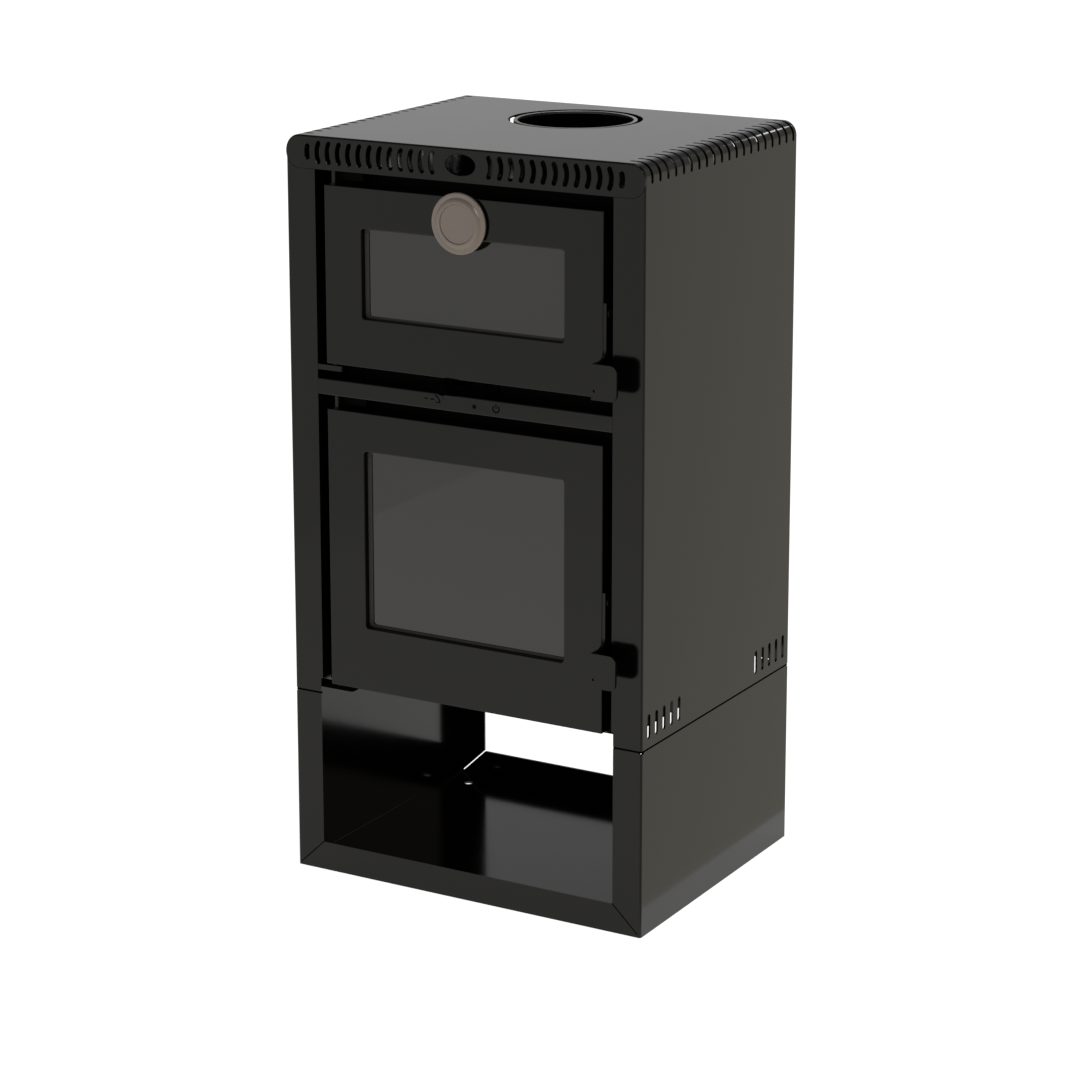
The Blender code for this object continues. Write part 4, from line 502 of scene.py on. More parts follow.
def next_ring(
    bm: bmesh.types.BMesh, verts: list[bmesh.types.BMVert], ring: Ring
) -> list[bmesh.types.BMVert]:
    """Extrude a ring of vertices to the next ring of its chain.

    Args:
        bm: the mesh.
        verts: the ring that is extruded.
        ring: the depth and the loop that the new vertices move to.

    Returns:
        The new vertices, in the order of the old ones.
    """
    geometry = bmesh.ops.extrude_edge_only(bm, edges=ring_edges(bm, verts))["geom"]
    made = {item for item in geometry if isinstance(item, bmesh.types.BMVert)}
    after = [
        next(edge.other_vert(vert) for edge in vert.link_edges if edge.other_vert(vert) in made)
        for vert in verts
    ]
    for vert, (u, v) in zip(after, ring[1]):
        vert.co = (u, v, ring[0])
    return after


def stacked(chains: Iterable[list[Ring]], plane: Plane) -> bmesh.types.BMesh:
    """Build a closed sheet from chains of rings.

    The first rings of all chains are filled as one face, and so are the last; between them each chain
    is extruded ring by ring.

    Args:
        chains: for each edge of the sheet, its rings in order.
        plane: the plane that the loops are drawn in.

    Returns:
        The closed mesh.
    """
    bm = bmesh.new()
    caps: tuple[list, list] = ([], [])
    for chain in chains:
        depth, loop = chain[0]
        verts = [bm.verts.new((u, v, depth)) for u, v in loop]
        caps[0].extend(ring_edges(bm, verts))
        for ring in chain[1:]:
            verts = next_ring(bm, verts, ring)
        caps[1].extend(ring_edges(bm, verts))
    for edges in caps:
        bmesh.ops.triangle_fill(bm, use_beauty=True, use_dissolve=False, edges=edges, normal=(0, 0, 1))
    bmesh.ops.transform(bm, matrix=plane.value, verts=bm.verts)
    bmesh.ops.remove_doubles(bm, verts=bm.verts, dist=WELD / 10)
    bmesh.ops.dissolve_limit(
        bm, angle_limit=math.radians(0.2), use_dissolve_boundaries=False, verts=bm.verts, edges=bm.edges
    )
    bmesh.ops.recalc_face_normals(bm, faces=bm.faces)
    return bm


def block(low: Sequence[float], high: Sequence[float]) -> bmesh.types.BMesh:
    """Return a box between two corners."""
    bm = bmesh.new()
    bmesh.ops.create_cube(bm, size=1)
    span = Vector(high) - Vector(low)
    bmesh.ops.scale(bm, vec=span, verts=bm.verts)
    bmesh.ops.translate(bm, vec=(Vector(low) + Vector(high)) / 2, verts=bm.verts)
    return bm


def prism(loop: Loop, plane: Plane, start: float, thickness: float) -> bmesh.types.BMesh:
    """Return a flat outline given a thickness."""
    bm = bmesh.new()
    face = bm.faces.new([bm.verts.new((u, v, start)) for u, v in loop])
    grown = bmesh.ops.extrude_face_region(bm, geom=[face])["geom"]
    moved = [item for item in grown if isinstance(item, bmesh.types.BMVert)]
    bmesh.ops.translate(bm, vec=(0, 0, thickness), verts=moved)
    bmesh.ops.transform(bm, matrix=plane.value, verts=bm.verts)
    bmesh.ops.recalc_face_normals(bm, faces=bm.faces)
    return bm


def spun(profile: Loop, centre: Sequence[float], axis: Axis, steps: int = 64) -> bmesh.types.BMesh:
    """Turn a profile of (radius, height) points about an axis.

    Args:
        profile: the points; it closes on itself unless both its ends lie on the axis.
        centre: where the axis passes at height zero.
        axis: the axis.
        steps: facets round.

    Returns:
        The closed mesh.
    """
    bm = bmesh.new()
    verts = [bm.verts.new((radius, 0, height)) for radius, height in profile]
    pairs = list(zip(verts, verts[1:]))
    if profile[0][0] > 0 or profile[-1][0] > 0:
        pairs.append((verts[-1], verts[0]))
    spin(bm, verts + [bm.edges.new(pair) for pair in pairs], centre, axis, steps)
    return bm


def spun_open(profile: Loop, centre: Sequence[float], axis: Axis, steps: int = 48) -> bmesh.types.BMesh:
    """Turn a closed profile that touches the axis along one edge, leaving that edge out."""
    bm = bmesh.new()
    verts = [bm.verts.new((radius, 0, height)) for radius, height in profile]
    edges = []
    for first, second in zip(verts, verts[1:] + verts[:1]):
        if first.co.x > 0 or second.co.x > 0:
            edges.append(bm.edges.new((first, second)))
    spin(bm, verts + edges, centre, axis, steps)
    return bm


def spin(bm: bmesh.types.BMesh, drawn: list, centre: Sequence[float], axis: Axis, steps: int) -> None:
    """Turn a drawn profile right round and set it on its axis."""
    bmesh.ops.spin(
        bm,
        geom=drawn,
        axis=(0, 0, 1),
        cent=(0, 0, 0),
        angle=math.tau,
        steps=steps,
        use_merge=True,
        use_duplicate=False,
    )
    bmesh.ops.remove_doubles(bm, verts=bm.verts, dist=WELD)
    place = Matrix.Translation(Vector(centre)) @ axis.value
    bmesh.ops.transform(bm, matrix=place, verts=bm.verts)
    bmesh.ops.recalc_face_normals(bm, faces=bm.faces)


def rod(
    start: Sequence[float], length: float, radius: float, axis: Axis, steps: int = 32
) -> bmesh.types.BMesh:
    """Return a rod with broken ends, from a start point along an axis."""
    edge = min(BROKEN_EDGE, radius / 4)
    profile = [
        (0.0, 0.0),
        (radius - edge, 0.0),
        (radius, edge),
        (radius, length - edge),
        (radius - edge, length),
        (0.0, length),
    ]
    return spun(profile, start, axis, steps)


def joined(parts: Iterable[bmesh.types.BMesh]) -> bmesh.types.BMesh:
    """Put separate meshes into one."""
    whole = bmesh.new()
    for part in parts:
        held = bpy.data.meshes.new("held")
        part.to_mesh(held)
        part.free()
        whole.from_mesh(held)
        bpy.data.meshes.remove(held)
    return whole


def carved(
    base: bmesh.types.BMesh, tool: bmesh.types.BMesh, operation: str = "DIFFERENCE"
) -> bmesh.types.BMesh:
    """Cut one mesh by another, or join them.

    Args:
        base: the mesh that is cut. It is used up.
        tool: the cutter. It is used up.
        operation: DIFFERENCE or UNION.

    Returns:
        The result.
    """
    holders = []
    for name, bm in (("base", base), ("tool", tool)):
        mesh = bpy.data.meshes.new(name)
        bm.to_mesh(mesh)
        bm.free()
        holder = bpy.data.objects.new(name, mesh)
        bpy.context.scene.collection.objects.link(holder)
        holders.append(holder)
    change = holders[0].modifiers.new("cut", "BOOLEAN")
    change.operation = operation
    change.solver = "EXACT"
    change.object = holders[1]
    bpy.context.view_layer.update()
    graph = bpy.context.evaluated_depsgraph_get()
    result = bpy.data.meshes.new_from_object(holders[0].evaluated_get(graph))
    out = bmesh.new()
    out.from_mesh(result)
    bpy.data.meshes.remove(result)
    for holder in holders:
        mesh = holder.data
        bpy.data.objects.remove(holder)
        bpy.data.meshes.remove(mesh)
    return out


def rounded(
    bm: bmesh.types.BMesh,
    chosen: Callable[[bmesh.types.BMEdge], bool],
    width: float,
    segments: int = 3,
) -> bmesh.types.BMesh:
    """Bevel the edges that a test picks and return the mesh."""
    edges = [edge for edge in bm.edges if chosen(edge)]
    bmesh.ops.bevel(
        bm,
        geom=edges,
        offset=width,
        segments=segments,
        profile=0.5,
        affect="EDGES",
        offset_type="OFFSET",
        material=-1,
        clamp_overlap=True,
    )
    return bm


def sharp(edge: bmesh.types.BMEdge) -> bool:
    """Tell whether an edge turns by more than 50 degrees."""
    return len(edge.link_faces) == 2 and edge.calc_face_angle(0.0) > math.radians(50)


def along(edge: bmesh.types.BMEdge, axis: int) -> bool:
    """Tell whether an edge runs along an axis, numbered from X."""
    span = edge.verts[0].co - edge.verts[1].co
    return abs(span[axis]) > 0.999 * span.length


def outside(edge: bmesh.types.BMEdge, axis: int, place: float) -> bool:
    """Tell whether an edge lies at a place on an axis."""
    return all(abs(vert.co[axis] - place) < WELD for vert in edge.verts)


class Assembly:
    """A sub-assembly: it publishes finished meshes as pieces of the stove."""

    def publish(
        self,
        name: str,
        bm: bmesh.types.BMesh,
        finish: Finish,
        body: Body,
        slot: str,
        nodes: Sequence[str] = (),
        angle: float = 38.0,
    ) -> bpy.types.Object:
        """Make an object of a mesh, dress it and fix it to the frame.

        Args:
            name: the piece's name.
            bm: its mesh. It is used up.
            finish: its finish.
            body: the body that it rides on.
            slot: the record's material slot. Not used.
            nodes: the frame's nodes that it stands for.
            angle: edges that turn by more than this stay sharp.

        Returns:
            The object.
        """
        mesh = bpy.data.meshes.new(name)
        bm.to_mesh(mesh)
        bm.free()
        mesh.materials.append(finish.material())
        mesh.shade_smooth()
        mesh.set_sharp_from_angle(angle=math.radians(angle))
        piece = bpy.data.objects.new(name, mesh)
        bpy.context.scene.collection.objects.link(piece)
        weighted = piece.modifiers.new("flat faces", "WEIGHTED_NORMAL")
        weighted.keep_sharp = True
        weighted.weight = 90
        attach(piece, body.value)
        if nodes:
            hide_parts(*nodes)
        LOG.info("%s on %s, %d faces", name, body.value, len(mesh.polygons))
        return piece


# The body of the stove


@dataclass
class LogStore(Assembly):
    """The folded log store with its mitred flanges."""

    half: float = 0.255
    depth: float = 0.2065
    height: float = 0.2436
    seam: float = 0.2413
    seam_depth: float = 0.0024
    sheet: float = 0.003
    bend: float = 0.003
    inner_bend: float = 0.0015
    side_flange: float = 0.040
    floor_flange: float = 0.038
    mitre: float = 0.0015
    relief: tuple[float, float, float, float] = (0.0035, 0.0060, 0.2392, 0.2413)
    shade_strip_inset: Point = (0.0008, 0.0023)
    shade_strip_lift: float = 0.0001
    hole_radius: float = 0.006
    hole_inset: Point = (0.037, 0.0425)
    fold: float = 0.010
    fold_drop: float = 0.0005
    fold_short: float = 0.002

    def build(self) -> None:
        """Build the shell and publish it."""
        bm = block((-self.half, -self.depth, 0), (self.half, self.depth, self.height))
        bm = rounded(bm, lambda e: along(e, 2), self.bend, 5)
        inner = self.half - self.sheet
        hollow = block(
            (-inner, -self.depth + self.sheet, self.sheet),
            (inner, self.depth - self.sheet, self.height + OVER),
        )
        bm = carved(bm, rounded(hollow, lambda e: not outside(e, 2, self.height + OVER), self.inner_bend, 3))
        opening = self.half - self.side_flange
        bm = carved(
            bm,
            block(
                (-opening, -self.depth - OVER, self.floor_flange),
                (opening, self.depth + OVER, self.height + OVER),
            ),
        )
        bm = carved(bm, self.folds(), "UNION")
        bm = carved(bm, self.mitres())
        bm = carved(bm, self.holes())
        bm = carved(bm, self.groove())
        bm = carved(bm, self.reliefs())
        self.publish("log_store_folded", bm, PAINT, Body.STOVE, "black_paint", ["log_store_shell"])
        # The black strip in the seam is painted shade for the shadow under the casing's edge.
        self.publish("seam_shade_strip", self.seal(), SEAM_SHADE_FILL, Body.STOVE, "rope")

    def folds(self) -> bmesh.types.BMesh:
        """Return the inward folds along the top of both sides."""
        inner = self.half - self.sheet
        top = self.height - self.fold_drop
        parts = []
        for side in (-1, 1):
            xs = sorted((side * (inner - self.fold), side * (inner + LAP)))
            front = self.depth - self.relief[1] - self.fold_short
            parts.append(block((xs[0], -front, top - self.sheet), (xs[1], front, top)))
        return joined(parts)

    def mitres(self) -> bmesh.types.BMesh:
        """Return slanted cutters that part the flanges at their corners."""
        slope = math.atan2(self.floor_flange, self.side_flange)
        whole = math.hypot(self.floor_flange, self.side_flange)
        start = self.sheet + self.bend
        length = whole - start + OVER
        reach = self.sheet + LAP
        middle = start + length / 2
        parts = []
        for side in (-1, 1):
            for end in (-1, 1):
                bm = block((-length / 2, -reach, -self.mitre / 2), (length / 2, reach, self.mitre / 2))
                place = Matrix.Translation(
                    (
                        side * (self.half - middle * math.cos(slope)),
                        end * self.depth,
                        middle * math.sin(slope),
                    )
                )
                turn = Matrix.Rotation(side * slope, 4, "Y")
                bmesh.ops.transform(bm, matrix=place @ turn, verts=bm.verts)
                parts.append(bm)
        return joined(parts)

    def reliefs(self) -> bmesh.types.BMesh:
        """Return the small cuts that relieve the folds at the four upper corners."""
        wide, long, low, high = self.relief
        parts = []
        for side in (-1, 1):
            for end in (-1, 1):
                xs = sorted((side * (self.half - wide), side * (self.half + OVER)))
                ys = sorted((end * (self.depth - long), end * (self.depth + OVER)))
                parts.append(block((xs[0], ys[0], low), (xs[1], ys[1], high)))
        return joined(parts)

    def seal(self) -> bmesh.types.BMesh:
        """Return the painted-shade strip in the seam: one length round each side, open at the front and the
        rear.
        """
        low, high = self.seam + self.shade_strip_lift, self.height + self.shade_strip_lift
        chains = [[(low, self.level(-inset)), (high, self.level(-inset))] for inset in self.shade_strip_inset]
        opening = self.half - self.side_flange
        gap = block(
            (-opening, -self.depth - OVER, self.seam - OVER),
            (opening, self.depth + OVER, self.height + OVER),
        )
        return carved(stacked(chains, Plane.LEVEL), gap)

    def level(self, grow: float) -> Loop:
        """Return the shell's outline seen from above, let out by grow."""
        return box_loop((-self.half, -self.depth), (self.half, self.depth), (self.bend,) * 4, grow, 4)

    def groove(self) -> bmesh.types.BMesh:
        """Return a frame that sets the top edge back, so the seam under the casing reads as a dark line."""
        chains = []
        for grow in (OVER, -self.seam_depth):
            chains.append([(self.seam, self.level(grow)), (self.height + OVER, self.level(grow))])
        return stacked(chains, Plane.LEVEL)

    def holes(self) -> bmesh.types.BMesh:
        """Return cutters for the four holes in the floor."""
        x = self.half - self.hole_inset[0]
        y = self.depth - self.hole_inset[1]
        places = [(sx * x, sy * y, -OVER) for sx in (-1, 1) for sy in (-1, 1)]
        return joined(rod(place, self.sheet + 2 * OVER, self.hole_radius, Axis.Z) for place in places)


@dataclass
class Casing(Assembly):
    """The folded casing: one sheet over both sides and the top, with wrapped slots."""

    half: float = 0.255
    depth: float = 0.2065
    bottom: float = 0.2438
    top: float = 0.970
    sheet: float = 0.0025
    corner: float = 0.0185
    bend: float = 0.003
    post: float = 0.2125
    post_return: float = 0.030
    notch_width: float = 0.0025
    notch_top: float = 0.26215
    grille_bottom: float = 0.928
    grille_depth: float = 0.003
    grille_corner: float = 0.020
    rear_flange: float = 0.025
    fold: float = 0.010
    shy: float = 0.0005
    slot_count: int = 20
    slot_pitch: float = 0.0202
    slot_width: float = 0.006
    slot_shift: float = 0.003
    slot_drop: float = 0.0252
    slot_reach: float = 0.030
    vent_count: int = 5
    vent_pitch: float = 0.020
    vent_width: float = 0.0075
    vent_height: float = 0.032
    vent_z: float = 0.27115
    vent_inset: float = 0.0185
    flue_radius: float = 0.087
    flue_y: float = 0.080
    gap: float = 0.0003
    steps: int = 12

    def outline(self, grow: float, bottom: float) -> Loop:
        """Return the casing's front outline, let out by grow."""
        radius = self.corner + grow
        half = self.half + grow
        top = self.top + grow
        loop = [(-half, bottom), (half, bottom)]
        loop += arc((half - radius, top - radius), radius, 0, 90, self.steps)
        return loop + arc((-half + radius, top - radius), radius, 90, 180, self.steps)

    def build(self) -> None:
        """Build the casing and publish it."""
        depth = self.depth
        bm = prism(self.outline(0.0, self.bottom), Plane.FRONT, -depth, depth + depth)

        def bend(edge: bmesh.types.BMEdge) -> bool:
            """Tell whether an edge is on the front or rear outline, above the bottom."""
            level = max(vert.co.z for vert in edge.verts) > self.bottom + WELD
            ends = outside(edge, 1, depth) or outside(edge, 1, -depth)
            return level and ends and edge.calc_face_angle(0.0) > 1

        bm = rounded(bm, bend, self.bend, 4)
        bm = carved(
            bm,
            prism(
                self.outline(-self.sheet, self.bottom - OVER),
                Plane.FRONT,
                -depth + self.sheet,
                depth + depth - self.sheet - self.sheet,
            ),
        )
        bm = carved(bm, self.added(), "UNION")
        for tool in self.cutters():
            bm = carved(bm, tool)
        self.publish("casing_folded", bm, PAINT, Body.STOVE, "black_paint", ["casing"])

    def added(self) -> bmesh.types.BMesh:
        """Return the post returns and the bottom folds."""
        parts = []
        inner = self.half - self.sheet
        for side in (-1, 1):
            xs = sorted((side * (self.post - LAP), side * (self.post + self.sheet)))
            parts.append(
                block(
                    (xs[0], -self.depth + self.shy, self.notch_top),
                    (xs[1], -self.depth + self.post_return, self.grille_bottom - self.gap),
                )
            )
            xs = sorted((side * (inner - self.fold), side * (inner + LAP)))
            low = self.bottom + self.shy
            parts.append(
                block(
                    (xs[0], -self.depth + self.post_return + LAP, low),
                    (xs[1], self.depth - self.sheet - self.gap, low + self.sheet),
                )
            )
        return joined(parts)

    def cutters(self) -> list[bmesh.types.BMesh]:
        """Return the cutters in the order that they are used."""
        depth = self.depth
        tools = [
            block(
                (-self.post, -depth - OVER, self.bottom - OVER),
                (self.post, -depth + self.post_return + self.shy, self.grille_bottom + LAP),
            )
        ]
        notches = []
        for side in (-1, 1):
            xs = sorted((side * (self.post - LAP), side * (self.post + self.notch_width)))
            notches.append(
                block(
                    (xs[0], -depth - OVER, self.bottom - OVER),
                    (xs[1], -depth + self.sheet + self.shy, self.notch_top),
                )
            )
        tools.append(joined(notches))
        rear = self.half - self.rear_flange
        tools.append(
            block(
                (-rear, depth - self.sheet - LAP, self.bottom - OVER),
                (rear, depth + OVER, self.top - self.rear_flange),
            )
        )
        tools.append(rod((0, self.flue_y, self.top - OVER), 2 * OVER, self.flue_radius, Axis.Z, 96))
        tools.append(joined(self.slot(side, y) for side in (-1, 1) for y in self.slot_places()))
        tools.append(joined(self.vents()))
        grow = self.gap
        loop = box_loop(
            (-self.half, self.grille_bottom),
            (self.half, self.top),
            (self.grille_corner, self.grille_corner, self.corner, self.corner),
            grow,
            self.steps,
        )
        tools.append(prism(loop, Plane.FRONT, -depth - OVER, OVER + self.grille_depth + self.gap))
        return tools

    def slot_places(self) -> list[float]:
        """Return the slots' places along the casing."""
        first = self.slot_shift - self.slot_pitch * (self.slot_count - 1) / 2
        return [first + self.slot_pitch * i for i in range(self.slot_count)]

    def slot(self, side: int, y: float) -> bmesh.types.BMesh:
        """Return the cutter of one slot, which wraps over the casing's edge."""
        under = self.top - self.sheet - LAP
        inside = self.half - self.sheet - LAP
        start = self.half - self.slot_reach
        low = self.top - self.slot_drop
        loop = [
            (side * start, under),
            (side * (self.half - self.corner), under),
            (side * inside, self.top - self.corner),
            (side * inside, low),
            (side * (self.half + OVER), low),
            (side * (self.half + OVER), self.top + OVER),
            (side * start, self.top + OVER),
        ]
        bm = prism(loop, Plane.FRONT, y - self.slot_width / 2, self.slot_width)

        def end(edge: bmesh.types.BMEdge) -> bool:
            """Tell whether an edge is at one of the slot's two ends."""
            flat = abs(edge.verts[0].co.y - edge.verts[1].co.y) < WELD
            return flat and (outside(edge, 2, low) or outside(edge, 0, side * start))

        return rounded(bm, end, self.slot_width / 2 - self.gap, 5)

    def vents(self) -> list[bmesh.types.BMesh]:
        """Return the cutters of the vents low on both sides."""
        z = self.vent_z
        parts = []
        for side in (-1, 1):
            start = self.half - self.sheet - LAP if side > 0 else -self.half - OVER
            for end in (-1, 1):
                for i in range(self.vent_count):
                    y = end * (self.depth - self.vent_inset - self.vent_pitch * i)
                    loop = stadium((y, z), self.vent_width, self.vent_height)
                    parts.append(prism(loop, Plane.SIDE, start, self.sheet + 0.011))
        return parts


@dataclass
class Grille(Assembly):
    """The front strip under the top, with its bowed slots and middle oval."""

    half: float = 0.255
    low: float = 0.928
    high: float = 0.970
    front: float = FRONT
    thickness: float = 0.003
    upper: float = 0.0185
    lower: float = 0.020
    count: int = 12
    pitch: float = 0.015149
    first: float = 0.040
    width: float = 0.0063
    height: float = 0.029
    sag: float = 0.0026
    last_x: float = 0.22315
    last_height: float = 0.020
    last_width: float = 0.0072
    last_sag: float = 0.0008
    lift: float = 0.0005
    soft: float = 0.0024
    broken: float = 0.00015
    oval: Point = (0.043, 0.0263)

    def build(self) -> None:
        """Build the strip and publish it."""
        z = (self.low + self.high) / 2 + self.lift
        radii = (self.lower, self.lower, self.upper, self.upper)

        def edge(drop: float) -> Loop:
            """Return the strip's outline, with its top edge let down and its other edges just broken."""
            shy = min(drop, self.broken)
            low = (-self.half + shy, self.low + shy)
            return box_loop(low, (self.half - shy, self.high - drop), radii, 0.0, 12)

        def middle(grow: float) -> Loop:
            """Return the oval."""
            width = self.oval[0] / 2 + grow
            height = self.oval[1] / 2 + grow
            angles = [math.tau * i / 48 for i in range(48)]
            return [(width * math.cos(a), z + height * math.sin(a)) for a in angles]

        outer: list[Ring] = []
        for i in range(5):
            turn = math.radians(90 * i / 4)
            place = self.front + self.soft * (1 - math.cos(turn))
            outer.append((place, edge(self.soft * (1 - math.sin(turn)))))
        outer.append((self.front + self.thickness, edge(0.0)))
        chains = [outer, plate_chain(middle, self.front, self.thickness, 1)]
        for side in (-1, 1):
            for i in range(self.count + 1):
                whole = i < self.count
                x = side * (self.first + self.pitch * i)
                if not whole:
                    x = side * self.last_x
                height = self.height if whole else self.last_height
                sag = self.sag if whole else self.last_sag
                width = self.width if whole else self.last_width
                place = (x, z)

                def slot(grow: float, place=place, height=height, width=width, sag=sag, side=side) -> Loop:
                    """Return one bowed slot."""
                    return bowed_slot(place, height, width, sag, side, grow)

                chains.append(plate_chain(slot, self.front, self.thickness, 1))
        bm = stacked(chains, Plane.FRONT)
        self.publish("grille_strip", bm, PAINT, Body.STOVE, "black_paint", ["top_grille"])


@dataclass
class Rail(Assembly):
    """The channel between the doors, with its printed air symbols."""

    half: float = 0.2122
    front: float = FRONT
    depth: float = 0.0145
    low: float = 0.640
    high: float = 0.6615
    sheet: float = 0.003
    bend: float = 0.002
    ink: float = 0.00012
    pin_x: float = -0.189
    pin_hole: float = 0.0145

    def build(self) -> None:
        """Build the channel and its symbols."""
        back = self.front + self.depth
        inner = self.front + self.sheet
        loop = [
            (self.front, self.low),
            (back, self.low),
            (back, self.low + self.sheet),
            (inner, self.low + self.sheet),
            (inner, self.high - self.sheet),
            (back, self.high - self.sheet),
            (back, self.high),
            (self.front, self.high),
        ]
        bm = prism(loop, Plane.SIDE, -self.half, self.half + self.half)
        bm = rounded(bm, lambda e: along(e, 0) and outside(e, 1, self.front), self.bend, 4)
        bm = carved(bm, rod((self.pin_x, PIVOT_Y, self.low - OVER), self.pin_hole, PIN_HOLE, Axis.Z))
        self.publish("rail_channel", bm, PAINT, Body.STOVE, "black_paint", ["cross_rail"])
        self.signs()

    def sign_loops(self) -> list[Loop]:
        """Return the symbols' outlines."""
        dash = [(-0.0541, 0.6524), (-0.0479, 0.6524), (-0.0479, 0.6539), (-0.0541, 0.6539)]
        arrow = [(-0.0449, 0.6521), (-0.0415, 0.6521), (-0.0382, 0.6527)]
        arrow += [(-0.0415, 0.6539), (-0.0449, 0.6537)]
        foot = [(-0.0372, 0.6491), (-0.0306, 0.6491), (-0.0306, 0.6505), (-0.0372, 0.6505)]
        dot = circle((-0.0266, 0.6553), 0.0008, 8)
        bar = [(0.0488, 0.6515), (0.0502, 0.6515), (0.0502, 0.6570), (0.0488, 0.6570)]
        star = [
            (0.0183 + reach * math.cos(turn), 0.6503 + reach * math.sin(turn))
            for reach, turn in ((0.0040 if i % 2 else 0.0019, math.tau * i / 16) for i in range(16))
        ]
        hook = self.band((-0.0430, 0.6480), 0.0118, 0.0017, 12, 68)
        ring = self.band((0.0495, 0.6509), 0.0044, 0.0017, 130, 410)
        return [dash, arrow, foot, dot, bar, star, hook, ring]

    def band(self, centre: Point, radius: float, width: float, start: float, end: float) -> Loop:
        """Return the outline of a bent line."""
        loop = arc(centre, radius + width / 2, start, end, 20)
        return loop + arc(centre, radius - width / 2, end, start, 20)

    def signs(self) -> None:
        """Print the symbols: a dashed arrow to a hook, a star, and an open ring with a bar."""
        start = self.front - self.ink
        shapes = [prism(loop, Plane.FRONT, start, self.ink) for loop in self.sign_loops()]
        self.publish("rail_symbols", joined(shapes), INK, Body.STOVE, "black_paint")


@dataclass
class Flue(Assembly):
    """The socket for the flue pipe, seen in the top plate's opening."""

    y: float = 0.080
    radius: float = 0.080
    wall: float = 0.005
    low: float = 0.9253
    high: float = 0.9695
    flange: float = 0.012
    flange_thickness: float = 0.003
    rim: float = 0.003

    def build(self) -> None:
        """Build the socket and its turned rim."""
        edge = 0.0005
        bore = self.radius - self.wall
        profile = [
            (self.radius, self.high - self.rim - 0.0001),
            (self.radius, self.low + self.flange_thickness),
            (self.radius + self.flange, self.low + self.flange_thickness),
            (self.radius + self.flange, self.low),
            (bore, self.low),
            (bore, self.high - self.rim - 0.0001),
        ]
        bm = spun(profile, (0, self.y, 0), Axis.Z, 96)
        self.publish("flue_socket", bm, PAINT, Body.STOVE, "dark_steel", ["flue_collar"])
        rim = self.high - self.rim
        ring = [(self.radius - 0.0001, rim), (self.radius - 0.0001, self.high - edge)]
        ring += arc((self.radius - edge, self.high - edge), edge, 30, 90, 3)
        ring += arc((bore + edge, self.high - edge), edge, 90, 150, 3)
        ring += [(bore + 0.0001, self.high - edge), (bore + 0.0001, rim)]
        bm = spun(ring, (0, self.y, 0), Axis.Z, 96)
        self.publish("flue_rim_turned", bm, STEEL, Body.STOVE, "dark_steel")


@dataclass
class Inlet(Assembly):
    """The air inlet spigot behind the stove."""

    z: float = 0.28525
    radius: float = 0.029
    wall: float = 0.002
    start: float = 0.1603
    end: float = 0.2235

    def build(self) -> None:
        """Build the spigot and publish it."""
        edge = 0.0005
        bore = self.radius - self.wall
        profile = [
            (self.radius - edge, self.end),
            (self.radius, self.end - edge),
            (self.radius, self.start + 0.003),
            (self.radius + 0.006, self.start + 0.003),
            (self.radius + 0.006, self.start),
            (bore, self.start),
            (bore, self.end - edge),
            (bore + edge, self.end),
        ]
        bm = spun(profile, (0, 0, self.z), Axis.Y)
        self.publish("inlet_spigot", bm, PLATE, Body.STOVE, "dark_steel", ["air_inlet_collar"])


# The doors


@dataclass
class DoorSizes:
    """What differs between the two doors."""

    name: str
    body: Body
    latch_body: Body
    bottom: float
    top: float
    window_bottom: float
    window_top: float
    pivot_z: float


